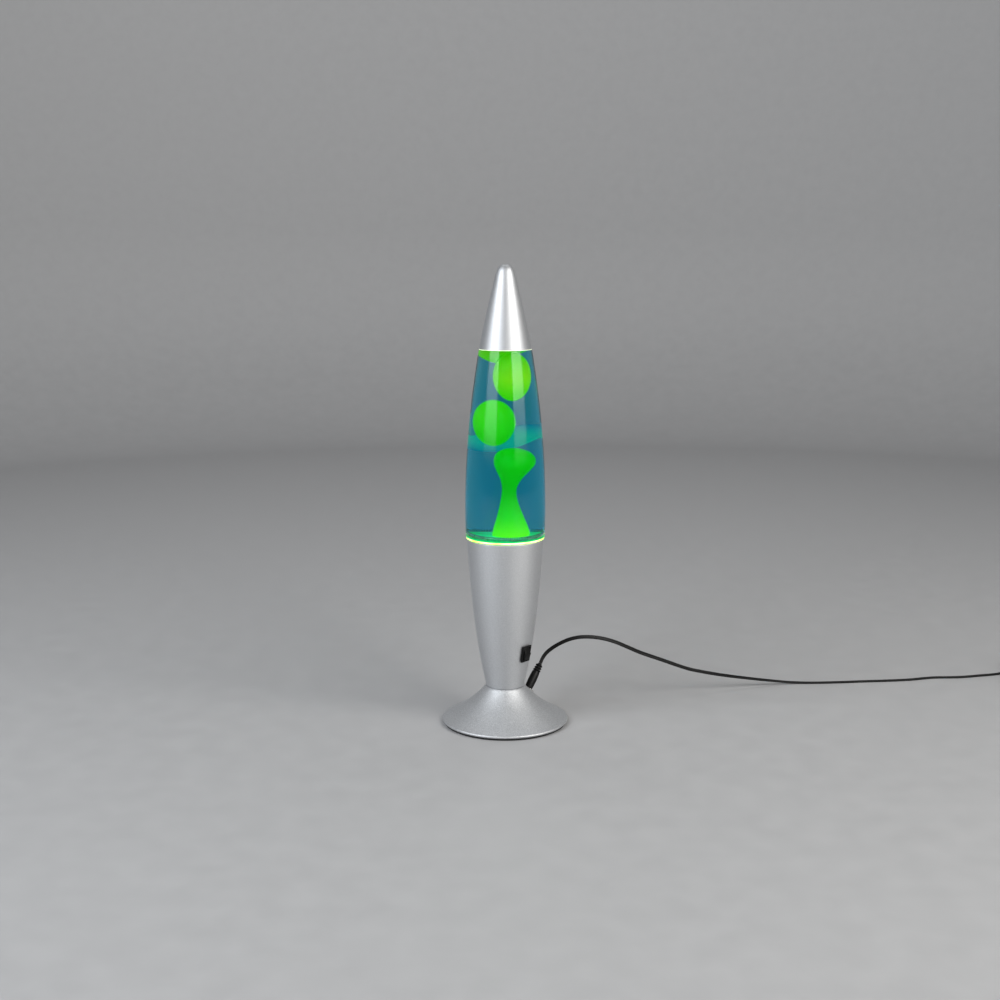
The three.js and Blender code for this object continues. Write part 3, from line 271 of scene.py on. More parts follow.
FINISHES = {
    "satin_silver": grained(
        "satin_silver", (0.44, 0.45, 0.465), (0.53, 0.54, 0.555), (0.46, 0.54), 0.88, 1700.0, 0.10),
    "stem_silver": grained(
        "stem_silver", (0.50, 0.51, 0.525), (0.61, 0.62, 0.635), (0.50, 0.58), 0.92, 1500.0, 0.14),
    "foot_silver": grained(
        "foot_silver", (0.42, 0.43, 0.445), (0.64, 0.65, 0.665), (0.48, 0.58), 0.88, 1300.0, 0.22),
    "steel": grained(
        "zinc_plate", (0.42, 0.43, 0.45), (0.60, 0.61, 0.62), (0.25, 0.40), 1.0, 500.0, 0.1,
        (1, 1, 0.1)),
    "bright_nickel": grained(
        "bright_nickel", (0.70, 0.69, 0.66), (0.80, 0.79, 0.77), (0.08, 0.18), 1.0, 400.0, 0.04),
    "black_plastic": grained(
        "moulded_black", (0.004, 0.004, 0.004), (0.009, 0.009, 0.009), (0.32, 0.44), 0.0, 2500.0, 0.08,
        Specular_IOR_Level=0.14),
    "black_cable": grained(
        "cable_black", (0.004, 0.004, 0.004), (0.008, 0.008, 0.008), (0.30, 0.44), 0.0, 1800.0, 0.10,
        Specular_IOR_Level=0.14),
    "black_foam": grained(
        "foam_black", (0.006, 0.006, 0.006), (0.02, 0.02, 0.02), (0.85, 1.0), 0.0, 1400.0, 0.8),
    "black_rubber": grained(
        "rubber_black", (0.012, 0.012, 0.012), (0.022, 0.022, 0.022), (0.6, 0.8), 0.0, 1600.0, 0.3),
    "ceramic": grained(
        "unglazed_ceramic", (0.70, 0.67, 0.60), (0.80, 0.78, 0.73), (0.5, 0.65), 0.0, 1200.0, 0.2),
    "copper": grained(
        "tinned_copper", (0.62, 0.33, 0.18), (0.78, 0.46, 0.27), (0.22, 0.35), 1.0, 700.0, 0.08),
    "red_wire": grained(
        "red_sheath", (0.32, 0.02, 0.02), (0.45, 0.035, 0.03), (0.35, 0.5), 0.0, 1500.0, 0.08),
    # The filled bottle shines once, not at each of its three surfaces, so its index is lower than glass's.
    "bottle_glass": clear("bottle_glass", (0.97, 0.995, 1.0), 1.16, 0.02),
    "clear_glass": clear("clear_glass", (0.98, 0.99, 1.0), 1.47, 0.02),
    "teal_liquid": dyed_liquid(),
    "green_wax": lit_wax("green_wax", [
        (176, (0.30, 1.05, 0.0)), (194, (0.03, 0.70, 0.0)), (218, (0.0, 0.46, 0.0)), (250, (0.0, 0.50, 0.0)),
        (278, (0.03, 0.56, 0.0)), (300, (0.08, 0.60, 0.0)), (318, (0.24, 0.62, 0.0)),
        (338, (0.10, 0.48, 0.0)), (350, (0.02, 0.34, 0.0))], (0.02, 0.20, 0.005)),
    "far_wax": far_wax(),
    "lit_heel": glowing("lit_heel", (0.55, 1.0, 0.06), (1.0, 1.0, 0.45), 1.9),
    "lit_floor": glowing("lit_floor", (0.0, 0.50, 0.12), (0.0, 0.66, 0.20), 0.8),
    "lit_edge": glowing("lit_edge", (0.70, 0.85, 0.45), (0.95, 1.0, 0.75), 0.9),
    "hot_wire": glowing("hot_wire", (1.0, 0.66, 0.3), (1.0, 0.78, 0.4), 6.0),
}


# ---- Making surfaces ----

def finish_piece(piece, finish, body, replaced=()):
    """Gives a piece its finish and its body, and hides the solids that it stands for."""
    piece.data.materials.clear()
    piece.data.materials.append(FINISHES[finish])
    if body:
        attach(piece, body)
    if replaced:
        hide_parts(*replaced)
    return piece


def close_up(mesh, sharp=35.0):
    """Merges doubled points at seams and poles, turns faces outwards and smooths all but sharp edges."""
    shell = bmesh.new()
    shell.from_mesh(mesh)
    bmesh.ops.remove_doubles(shell, verts=shell.verts, dist=2e-7)
    bmesh.ops.dissolve_degenerate(shell, edges=shell.edges, dist=1e-8)
    bmesh.ops.recalc_face_normals(shell, faces=shell.faces)
    if shell.calc_volume(signed=True) < 0:
        bmesh.ops.reverse_faces(shell, faces=shell.faces)
    shell.to_mesh(mesh)
    shell.free()
    mesh.shade_smooth()
    mesh.set_sharp_from_angle(angle=math.radians(sharp))


def surface(name, rings, closed=False, sharp=35.0):
    """A mesh of quads over an array of rings, each ring closed on itself. Where closed is true the last
    ring joins the first, and otherwise the first and last rings are poles."""
    count, around = rings.shape[:2]
    ring = np.arange(count if closed else count - 1)[:, None]
    spot = np.arange(around)[None, :]
    after, beside = (ring + 1) % count, (spot + 1) % around
    corners = [ring * around + spot, ring * around + beside, after * around + beside, after * around + spot]
    faces = np.stack(np.broadcast_arrays(*corners), axis=-1).reshape(-1, 4)
    mesh = bpy.data.meshes.new(name)
    mesh.from_pydata((rings.reshape(-1, 3) * MM).tolist(), [], faces.tolist())
    close_up(mesh, sharp)
    piece = bpy.data.objects.new(name, mesh)
    bpy.context.scene.collection.objects.link(piece)
    return piece


def full_turn(count):
    """Angles evenly spaced round a circle, in radians."""
    return np.linspace(0, 2 * math.pi, count, endpoint=False)


def turned(name, profile, closed=False, around=96, sharp=35.0):
    """Each (radius, height) of the profile carried round the axis: x is the radius times the cosine of
    the angle, and y is the radius times its sine."""
    profile = np.asarray(profile, float)
    angle = full_turn(around)
    rings = np.stack([
        profile[:, :1] * np.cos(angle),
        profile[:, :1] * np.sin(angle),
        np.repeat(profile[:, 1:], around, axis=1),
    ], axis=-1)
    return surface(name, rings, closed, sharp)


def bezier(points, count):
    """The points along a Bezier curve of any degree, as the sum of its control points times their
    binomial weights."""
    points = np.asarray(points, float)
    degree = len(points) - 1
    t = np.linspace(0, 1, count)[:, None]
    weights = [math.comb(degree, k) * t**k * (1 - t) ** (degree - k) for k in range(degree + 1)]
    return sum(weight * point for weight, point in zip(weights, points))


def arc(centre, radius, start, end, count=9):
    """Points on a circle from one angle to another, in degrees."""
    angle = np.radians(np.linspace(start, end, count))
    return np.stack([centre[0] + radius * np.cos(angle), centre[1] + radius * np.sin(angle)], axis=1)


def bead(centre, radius, count):
    """A small closed circle, as the outline of a ring's section."""
    return arc(centre, radius, 0, 360, count + 1)[:-1]


def round_wire(radius, count=6):
    """The outline of a thin round wire."""
    angle = full_turn(count)
    return radius * np.stack([np.cos(angle), np.sin(angle)], axis=1)


def moved_in(profile, distance):
    """A profile moved square to itself, towards its left as it is followed."""
    step = np.gradient(profile, axis=0)
    length = np.linalg.norm(step, axis=1, keepdims=True)
    return profile + distance * np.stack([-step[:, 1], step[:, 0]], axis=1) / length


def run_to(points):
    """How far along a line each of its points lies."""
    return np.concatenate([[0], np.cumsum(np.linalg.norm(np.diff(points, axis=0), axis=1))])


def smooth_line(points, spacing):
    """A curve through the points: each stretch is a cubic whose slope at a point is the run between its
    two neighbours over the distance between them. Returns points a fixed spacing apart."""
    points = np.asarray(points, float)
    far = run_to(points)
    slope = np.gradient(points, far, axis=0)
    at = np.linspace(0, far[-1], int(far[-1] / spacing) + 1)
    first = np.clip(np.searchsorted(far, at, side="right") - 1, 0, len(far) - 2)
    reach = (far[first + 1] - far[first])[:, None]
    t = (at - far[first])[:, None] / reach
    return (
        (2 * t**3 - 3 * t**2 + 1) * points[first]
        + (t**3 - 2 * t**2 + t) * reach * slope[first]
        + (3 * t**2 - 2 * t**3) * points[first + 1]
        + (t**3 - t**2) * reach * slope[first + 1]
    )


def swept(name, path, section, roll=None, sharp=35.0):
    """A flat outline carried along a path. Its first axis lies level and square to the path, its second
    is square to both, and roll turns them about the path, in degrees. The ends close to a point."""
    ahead = np.gradient(path, axis=0)
    ahead /= np.linalg.norm(ahead, axis=1, keepdims=True)
    level = np.cross(np.array([0.0, 0.0, 1.0]), ahead)
    level /= np.maximum(np.linalg.norm(level, axis=1, keepdims=True), 1e-6)
    over = np.cross(ahead, level)
    turn = np.radians(np.zeros(len(path)) if roll is None else roll)[:, None]
    first = np.cos(turn) * level + np.sin(turn) * over
    second = np.cos(turn) * over - np.sin(turn) * level
    rings = (
        path[:, None, :]
        + section[None, :, :1] * first[:, None, :]
        + section[None, :, 1:] * second[:, None, :]
    )
    ends = [np.repeat(path[end][None, None, :], len(section), axis=1) for end in (0, -1)]
    return surface(name, np.concatenate([ends[0], rings, ends[1]]), sharp=sharp)


def along_jack(profile, around=48):
    """A turned profile whose axis is the jack's: heights run out along it from the foot's surface."""
    profile = np.asarray(profile, float)
    angle = full_turn(around)
    side = np.cross(JACK_AXIS, [0.0, 0.0, 1.0])
    side /= np.linalg.norm(side)
    other = np.cross(JACK_AXIS, side)
    spoke = np.cos(angle)[:, None] * side + np.sin(angle)[:, None] * other
    return JACK_POINT + profile[:, 1:, None] * JACK_AXIS + profile[:, :1, None] * spoke[None, :, :]


def eased(node, name, width, segments=3, flat=1.0):
    """A node's own solid with its flat faces made whole and its edges rounded."""
    mesh = frame["nodes"][node].data.copy()
    mesh.name = name
    shell = bmesh.new()
    shell.from_mesh(mesh)
    bmesh.ops.remove_doubles(shell, verts=shell.verts, dist=1e-6)
    bmesh.ops.dissolve_limit(
        shell, angle_limit=math.radians(flat), verts=shell.verts, edges=shell.edges)
    edges = [edge for edge in shell.edges if edge.calc_face_angle(0.0) > math.radians(25)]
    bmesh.ops.bevel(
        shell, geom=edges, offset=width * MM, segments=segments, profile=0.5, affect="EDGES",
        clamp_overlap=True)
    bmesh.ops.recalc_face_normals(shell, faces=shell.faces)
    shell.to_mesh(mesh)
    shell.free()
    mesh.shade_smooth()
    mesh.set_sharp_from_angle(angle=math.radians(40))
    piece = bpy.data.objects.new(name, mesh)
    bpy.context.scene.collection.objects.link(piece)
    return piece


# ---- Camera, floor and light ----

def place_camera():
    """A camera in front of the lamp that looks a little down."""
    data = bpy.data.cameras.new("camera")
    data.lens, data.sensor_width = LENS, SENSOR
    data.clip_start, data.clip_end = 0.01, 100.0
    camera = bpy.data.objects.new("camera", data)
    camera.location = [value * MM for value in CAMERA_PLACE]
    camera.rotation_euler = (math.radians(90 - CAMERA_DIP), 0, 0)
    bpy.context.scene.collection.objects.link(camera)
    bpy.context.scene.camera = camera


def pale_cove():
    """A floor that curves up into a low wall all round, far enough out to look plain from any side."""
    floor_edge, bend, wall_top, to_the_right = 1900.0, 500.0, 1500.0, 100.0
    profile = np.concatenate([
        [(0.0, 0.0)], arc((floor_edge, bend), bend, -90, 0, 24), [(floor_edge + bend, wall_top)]])
    cove = turned("floor", profile)
    cove.data.transform(Matrix.Translation((to_the_right * MM, 0, 0)))
    cove.data.flip_normals()  # the floor's top side is the one that shows
    cove.data.materials.append(
        grained("pale_floor", (0.35, 0.35, 0.355), (0.37, 0.37, 0.375), (0.5, 0.6), 0.0, 40.0, 0.0))


def soft_light(name, place, size, power, colour, aim=(0, 0, 0.3), fade=0.0):
    """A large soft light that faces a point and can fade towards its lower edge."""
    data = bpy.data.lights.new(name, "AREA")
    data.shape = "RECTANGLE"
    data.size, data.size_y = size
    data.energy = power
    data.color = colour
    light = bpy.data.objects.new(name, data)
    light.location = place
    towards = Vector(aim) - light.location
    light.rotation_euler = towards.to_track_quat("-Z", "Y").to_euler()
    bpy.context.scene.collection.objects.link(light)
    if fade:
        data.use_nodes = True
        tree = data.node_tree
        emission = next(node for node in tree.nodes if node.type == "EMISSION")
        across = tree.nodes.new("ShaderNodeNewGeometry")
        parts = tree.nodes.new("ShaderNodeSeparateXYZ")
        tree.links.new(across.outputs["Parametric"], parts.inputs["Vector"])
        tree.links.new(between(tree, parts.outputs["Y"], 0.0, 1.0, 0.0, fade), emission.inputs["Strength"])


def light_studio():
    """A tall softbox at each side of the camera, a weak light on the wall behind and a dim sky."""
    distance, height, size = 1.5, 0.86, (1.3, 1.5)
    softboxes = [
        ("left_softbox", -51.0, 36.0, (0.93, 0.965, 1.0)),
        ("right_softbox", 50.0, 40.0, (1.0, 0.98, 0.94)),
    ]
    for name, azimuth, power, colour in softboxes:
        turn = math.radians(azimuth)
        place = (distance * math.sin(turn), -distance * math.cos(turn), height)
        soft_light(name, place, size, power, colour, fade=0.45)
    soft_light("back_softbox", (0.0, 0.8, 2.0), (1.6, 0.9), 12.0, (1.0, 1.0, 1.0), aim=(0, 2.1, 0.2))
    world = bpy.data.worlds.new("studio")
    bpy.context.scene.world = world
    world.use_nodes = True
    sky = world.node_tree.nodes["Background"]
    sky.inputs["Color"].default_value = (0.93, 0.96, 1.0, 1.0)
    sky.inputs["Strength"].default_value = 0.13


# ---- The lead, its coil and the supply ----

def twin_section(count=20):
    """Two round cores side by side with a web between them: the half thickness at a distance across is
    that of the nearer circle, and never less than the web's."""
    core, web = LEAD_THICKNESS / 2, 0.56
    angle = full_turn(count) + math.pi / count
    across = LEAD_WIDTH / 2 * np.cos(angle)
    circle = np.sqrt(np.maximum(core**2 - (np.abs(across) - core) ** 2, 0))
    inside = np.abs(across) < core
    half = np.where(inside, np.maximum(circle, web), circle)
    return np.stack([across, np.sign(np.sin(angle)) * half], axis=1)


def coil_points(per_turn=24):
    """Round the coil's centre, one full turn in each place: the distance out and the layer step from
    turn to turn over the last part of the turn before."""
    places = np.array([
        (COIL_OUTER_TURN, 0), (COIL_INNER_TURN, 0), (COIL_INNER_TURN, 1), (COIL_OUTER_TURN, 1),
        (COIL_OUTER_TURN, 2), (COIL_INNER_TURN, 2), (COIL_INNER_TURN, 3), (COIL_OUTER_TURN, 3),
        (COIL_OUTER_TURN, 3),
    ])
    total = COIL_TURNS + (COIL_FROM - COIL_TO) / 360
    turn = np.linspace(0, total, int(total * per_turn))
    whole = np.minimum(turn.astype(int), len(places) - 2)
    ease = np.clip((turn - whole - 0.84) / 0.16, 0, 1)[:, None]
    ease = ease * ease * (3 - 2 * ease)
    out, layer = (places[whole] * (1 - ease) + places[whole + 1] * ease).T
    angle = np.radians(COIL_FROM) - 2 * math.pi * turn
    return np.stack([
        COIL_CENTRE[0] + out * np.cos(angle),
        COIL_CENTRE[1] + out * np.sin(angle),
        LEAD_WIDTH * (layer + 0.5),
    ], axis=1)


def make_lead(on_lead):
    """The flat lead from the plug to the supply. It lies flat on the table and turns on edge as it
    winds into the coil."""
    coil = coil_points()
    knots = np.concatenate([LEAD_ROUTE, coil, TAIL_ROUTE, [INTO_SUPPLY]])
    path = smooth_line(knots, 1.3)
    far, knot_far = run_to(path), run_to(knots)
    landed, coil_start = knot_far[LANDED], knot_far[len(LEAD_ROUTE)]
    coil_end = knot_far[len(LEAD_ROUTE) + len(coil) - 1]
    rolls = np.array([  # how far along the lead, and how many degrees it is rolled there
        (0, 70), (18, 75), (60, 60), (110, 80), (landed - 40, 20), (landed, 0), (coil_start - 15, 0),
        (coil_start + 25, 90), (coil_end, 90), (far[-1], 40),
    ])
    roll = np.interp(far, *rolls.T)
    turned_by = np.radians(roll)
    half_height = (LEAD_WIDTH * np.sin(turned_by) + LEAD_THICKNESS * np.cos(turned_by)) / 2
    path[:, 2] = np.maximum(path[:, 2], half_height + 0.05)  # no edge of it dips into the table
    lead = swept("flat_twin_lead", path, twin_section(), roll, sharp=60.0)
    finish_piece(lead, "black_cable", None, ("cord_lead", "cord_coil", "cord_tail"))
    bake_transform(lead)


def make_plug():
    """A moulded handle that swells to its middle, then rings of a strain relief that shrink to the
    lead, turned about the jack's axis."""
    end = PLUG_START + PLUG_LENGTH
    relief = end - PLUG_RELIEF
    mouth, belly, waist = 0.90 * PLUG_RADIUS, 1.04 * PLUG_RADIUS, 0.88 * PLUG_RADIUS
    edge, collar = 0.7, PLUG_NECK + 0.2
    handle = bezier([
        (mouth, PLUG_START + 0.6), (belly, PLUG_START + 7), (belly, relief - 5), (waist, relief)], 30)
    rings = []
    for index in range(3):
        low = relief + index * 2.5
        swell = (0.88 - 0.05 * index) * PLUG_RADIUS
        rings.append([(2.0, low + 0.15), (2.0, low + 0.65)])
        rings.append(arc((swell - 0.5, low + 1.5), 0.75, -70, 70, 9))
    profile = np.concatenate([
        [(0, PLUG_START)], arc((mouth - edge, PLUG_START + edge), edge, -90, 0, 6), handle[1:], *rings,
        [(2.3, end - 1.2), (collar, end - 0.9), (collar, end - 0.3), (PLUG_NECK - 0.3, end), (0, end)]])
    plug = surface("moulded_plug", along_jack(profile), sharp=50.0)
    return finish_piece(plug, "black_plastic", "plug", ("plug_body",))


def make_supply():
    """The supply's case halves and the tie round the coil, with their edges rounded."""
    pieces = [
        ("adapter_front", "supply_front", 2.2, 4),
        ("adapter_back", "supply_back", 2.2, 4),
        ("cord_tie", "coil_tie", 0.25, 2),
    ]
    return [
        finish_piece(eased(node, name, width, steps), "black_plastic", "stand", (node,))
        for node, name, width, steps in pieces
    ]


# ---- The foot and the stem ----

def make_pad():
    """A disc of foam under the foot, with a rounded edge."""
    edge = 0.4
    over = arc((PAD_RADIUS - edge, PAD_THICKNESS - edge), edge, 90, 0, 5)
    under = arc((PAD_RADIUS - edge, edge), edge, 0, -90, 5)
    profile = np.concatenate([[(0, PAD_THICKNESS)], over, under, [(0, 0)]])
    finish_piece(turned("foam_pad", profile, around=128), "black_foam", "stand", ("base_pad",))


def cut_through(piece, cutter_rings):
    """Cuts a closed shape out of a piece for good."""
    cutter = surface("cutter", cutter_rings)
    modifier = piece.modifiers.new("cut", "BOOLEAN")
    modifier.operation = "DIFFERENCE"
    modifier.solver = "EXACT"
    modifier.object = cutter
    bpy.context.view_layer.update()
    cut = bpy.data.meshes.new_from_object(piece.evaluated_get(bpy.context.evaluated_depsgraph_get()))
    piece.modifiers.clear()
    piece.data = cut
    bpy.data.objects.remove(cutter)
    return piece


def make_foot():
    """A flare from the stem down to a rolled rim, with a thin wall under it and a hole for the jack."""
    flare = bezier([
        (FOOT_TOP_RADIUS, FOOT_TOP), (FOOT_TOP_RADIUS + 14, FOOT_BOTTOM + 15),
        (FOOT_RADIUS - 0.6 * FOOT_RIM, FOOT_BOTTOM + 1.92 * FOOT_RIM)], 48)
    rim = arc((FOOT_RADIUS - FOOT_RIM, FOOT_BOTTOM + FOOT_RIM), FOOT_RIM, 60, -90, 14)
    under = moved_in(flare, -FOOT_WALL)
    under = under[(under[:, 1] > FOOT_RECESS + 0.2) & (under[:, 1] < FOOT_TOP - 2.4)][::-1]
    profile = np.concatenate([
        [(TUBE_HOLE, FOOT_TOP), (FOOT_TOP_RADIUS - 0.4, FOOT_TOP), (FOOT_TOP_RADIUS - 0.12, FOOT_TOP - 0.1)],
        flare[1:], rim, [(FOOT_MOUTH, FOOT_BOTTOM), (FOOT_MOUTH, FOOT_RECESS)], under,
        [(FOOT_TOP_RADIUS - 2, FOOT_TOP - 2), (TUBE_HOLE, FOOT_TOP - 2)]])
    foot = turned("spun_foot", profile, closed=True, around=160)
    reach = 12
    foot = cut_through(foot, along_jack([(0, -reach), (JACK_HOLE, -reach), (JACK_HOLE, reach), (0, reach)]))
    close_up(foot.data, 30.0)
    finish_piece(foot, "foot_silver", "stand", ("foot_shell",))


STEM_LINE = [(17.4, STEM_BOTTOM), (28.2, 81.0), (31.75, 127.0), (35.2, STEM_TOP)]


def make_stem():
    """A tall cup that swells upwards, closed by a flat floor, with a ledge for the bottle and a window
    for the switch."""
    side = bezier(STEM_LINE, 80)
    inside = moved_in(side, STEM_WALL)
    wall = inside[(inside[:, 1] > STEM_BOTTOM + 3.5) & (inside[:, 1] < LEDGE_TOP - 2.5)][::-1]
    rim, ledge_bottom = STEM_LINE[-1][0], LEDGE_TOP - LEDGE_THICKNESS
    profile = np.concatenate([
        [(TUBE_HOLE, STEM_BOTTOM), (17.0, STEM_BOTTOM), (17.3, STEM_BOTTOM + 0.1)], side[1:-1],
        [(rim, STEM_TOP - STEM_LIP)], arc((rim - STEM_LIP, STEM_TOP - STEM_LIP), STEM_LIP, 0, 90, 5),
        [(CUP_MOUTH + 0.15, STEM_TOP), (CUP_MOUTH, STEM_TOP - 0.3), (LEDGE_WALL + 0.05, LEDGE_TOP),
         (LEDGE_BORE, LEDGE_TOP), (LEDGE_BORE, ledge_bottom), (LEDGE_WALL - 0.2, ledge_bottom)],
        wall, [(16.9, STEM_BOTTOM + STEM_FLOOR), (TUBE_HOLE, STEM_BOTTOM + STEM_FLOOR)]])
    stem = turned("spun_stem", profile, closed=True, around=160)
    across, up, out = switch_axes()
    corners = np.array([(-1, -1), (1, -1), (1, 1), (-1, 1)])
    window = WINDOW_WIDTH / 2 * corners[:, :1] * across + WINDOW_HEIGHT / 2 * corners[:, 1:] * up
    reach = 6
    rings = switch_point() + np.stack([
        depth * out + scale * window
        for depth, scale in ((-reach, 0), (-reach, 1), (reach, 1), (reach, 0))])
    stem = cut_through(stem, rings)
    close_up(stem.data, 30.0)
    finish_piece(stem, "stem_silver", "stand", ("stem_shell",))


def switch_axes():
    """Across, up and out of the switch, from its azimuth and the stem's slope beside it."""
    turn = math.radians(SWITCH_AZIMUTH)
    slope = math.radians(SWITCH_LEAN)
    radial = np.array([math.cos(turn), math.sin(turn), 0.0])
    vertical = np.array([0.0, 0.0, 1.0])
    up = math.sin(slope) * radial + math.cos(slope) * vertical
    out = math.cos(slope) * radial - math.sin(slope) * vertical
    return np.cross(up, out), up, out


def switch_point():
    """Where the switch's axis meets the stem."""
    turn = math.radians(SWITCH_AZIMUTH)
    return np.array([SWITCH_RADIUS * math.cos(turn), SWITCH_RADIUS * math.sin(turn), SWITCH_HEIGHT])


def make_switch():
    """The switch's body and its rocker, with their edges rounded."""
    pieces = [
        ("switch_body", "switch_bezel", 0.45, "stand"),
        ("switch_rocker", "switch_paddle", 0.35, "rocker"),
    ]
    for node, name, width, body in pieces:
        finish_piece(eased(node, name, width), "black_plastic", body, (node,))


# ---- The bottle, the liquid and the wax ----

BOTTLE_LINE = [(36.0, HEEL), (37.6, 233.0), (33.05, 288.6), (23.7, SHOULDER)]
SHOULDER_LINE = [(21.6, SHOULDER), (21.0, SHOULDER + 8), (NECK_RADIUS + 1.5, NECK_START - 7.2),
                 (NECK_RADIUS, NECK_START)]


def bottle_inside(grow=0.0, top=NECK_TOP):
    """The bottle's inner wall from the centre of its floor to its mouth, moved out by a little."""
    side = moved_in(bezier(BOTTLE_LINE, 80), GLASS_WALL - grow)
    side = side[side[:, 1] > LIQUID_FLOOR + 3.2]
    shoulder = moved_in(bezier(SHOULDER_LINE, 20), GLASS_WALL - grow)[2:-1]
    shoulder[:, 0] = np.maximum(shoulder[:, 0], NECK_BORE + grow)
    corner = side[0, 0]
    return np.concatenate([
        [(0, LIQUID_FLOOR - grow)],
        arc((corner - 3.0, LIQUID_FLOOR + 3.0 - grow), 3.0, -90, 0, 8),
        side, shoulder[shoulder[:, 1] < top],
        [(NECK_BORE + grow, NECK_START), (NECK_BORE + grow, top)]])


def make_bottle():
    """A thick-based bottle: a plug that drops into the stem, a round heel, the long taper, a shoulder
    and a short neck with a lip for the crown."""
    heel = bezier([(35.2, STEM_TOP + GAP), (36.0, STEM_TOP + 1.6), (36.0, HEEL)], 10)
    step = bezier([
        BOTTLE_LINE[-1], (23.2, SHOULDER + 0.5), (21.9, SHOULDER + 0.2), (21.6, SHOULDER + 1)], 6)
    edge = 1.2
    outside = np.concatenate([
        [(0, GLASS_FLOOR), (GLASS_BASE_RADIUS - edge - 0.4, GLASS_FLOOR)],
        arc((GLASS_BASE_RADIUS - edge, GLASS_FLOOR + edge), edge, -90, 0, 6),
        [(GLASS_BASE_RADIUS, STEM_TOP + GAP)], heel, bezier(BOTTLE_LINE, 90)[1:], step[1:],
        bezier(SHOULDER_LINE, 20)[3:], [(NECK_RADIUS, NECK_TOP - 3.2)],
        arc((NECK_RADIUS - 0.6, NECK_TOP - 1.5), 1.1, -40, 80, 10)])
    finish_piece(
        turned("bottle_glass", np.concatenate([outside, bottle_inside()[::-1]]), around=160),
        "bottle_glass", "bottle", ("glass_bottle",))
    liquid = np.concatenate([bottle_inside(LAP, LIQUID_TOP), [(0, LIQUID_TOP)]])
    finish_piece(
        turned("dyed_liquid", liquid, around=160), "teal_liquid", "bottle",
        ("bottle_liquid",))
    glow = bead((34.5, STEM_TOP + 1.3), 0.65, 12)
    finish_piece(
        turned("lit_heel_ring", glow, closed=True, around=160), "lit_heel", "bottle")


def blob(name, centre, radii, lump, tilt, around=72, rows=36):
    """A ball stretched to three half sizes, with one slow wave round it and one up it so that it isn't
    perfect, and its right side raised by the tilt times the distance across."""
    rise = np.linspace(-math.pi / 2, math.pi / 2, rows)[:, None]
    turn = full_turn(around)[None, :]
    up_wave = 0.3 * lump * np.sin(3 * rise + 0.4)
    swell = 1 + lump * np.sin(2 * turn + 1.3) * np.cos(rise) + up_wave
    rings = np.stack([
        centre[0] + radii[0] * swell * np.cos(rise) * np.cos(turn),
        centre[1] + radii[1] * swell * np.cos(rise) * np.sin(turn),
        centre[2] + radii[2] * (1 + up_wave) * np.sin(rise) + 0 * turn,
    ], axis=-1)
    rings[..., 2] += tilt * (rings[..., 0] - centre[0])
    return surface(name, rings, sharp=80.0)


def make_wax():
    """The blobs, the column, the gathered pool, the film on the floor with its painted glow, and the lit
    base under it.
    """
    for node, (centre, radii, lump, tilt) in WAX_BLOBS.items():
        shape = blob(node + "_shape", centre, radii, lump, tilt)
        finish = "far_wax" if node == "wax_back_blob" else "green_wax"
        finish_piece(shape, finish, "bottle", (node,))
    make_wax_column()
    make_wax_pool()
    # Painted light: the film and the glass base under it glow green with emission, standing in for the
    # bulb's light coming up through them.
    floor = np.array([(0, 0.35), (24.4, 0.35), (24.7, 0.9), (24.4, 1.4), (0, 1.4)])
    finish_piece(
        turned("glowing_wax_floor_film", floor + (0, LIQUID_FLOOR), around=96), "lit_floor", "bottle")
    base = np.array([(0, 0), (33.4, 0), (33.9, 0.5), (33.4, 1.0), (0, 1.0)])
    finish_piece(
        turned("lit_glass_base", base + (0, LIQUID_FLOOR - 2.2), around=96), "lit_floor", "bottle")


def make_wax_column():
    """Round slices stacked up a line that leans to the right: the radius and the lean at each height
    run smoothly through the list."""
    forward = -2.0
    fine = smooth_line(WAX_COLUMN, 1.0)
    height, radius, lean = fine[:, :1], np.maximum(fine[:, 1:2], 0), fine[:, 2:]
    radius[0] = radius[-1] = 0
    turn = full_turn(72)[None, :]
    rings = np.stack([
        lean + radius * np.cos(turn), forward + radius * np.sin(turn), height + 0 * turn], axis=-1)
    finish_piece(
        surface("wax_column_shape", rings, sharp=80.0), "green_wax", "bottle",
        ("wax_column",))


def make_wax_pool():
    """Wax that has gathered under the shoulder. Its underside is a bowl as wide as the bottle at its
    edge, which is lower at the left and the back, and sags there by a cosine from the edge in to its
    lowest point, a little left of the middle. Its top is a low cone."""
    edge_height, edge_dip, sag, sag_shift = 344.0, 3.0, 9.5, -4.0
    top_height, top_rise, top_radius = 352.0, 3.0, 17.0
    wall = moved_in(bezier(BOTTLE_LINE, 200), GLASS_WALL + 0.5)
    share = np.linspace(0, 1, 24)[:, None]
    turn = full_turn(96)[None, :]
    edge = edge_height + edge_dip * (np.cos(turn) - np.sin(turn))
    under_radius = share * np.interp(edge, wall[:, 1], wall[:, 0])
    under = np.stack([
        sag_shift * (1 - share) + under_radius * np.cos(turn),
        under_radius * np.sin(turn),
        edge - sag * np.cos(share * math.pi / 2) ** 0.8,
    ], axis=-1)
    over_radius = top_radius * (1 - share)
    top = np.stack([
        over_radius * np.cos(turn),
        over_radius * np.sin(turn),
        top_height + top_rise * share + 0 * turn,
    ], axis=-1)
    finish_piece(
        surface("wax_top_pool_shape", np.concatenate([under, top]), sharp=50.0), "green_wax", "bottle",
        ("wax_top_pool",))


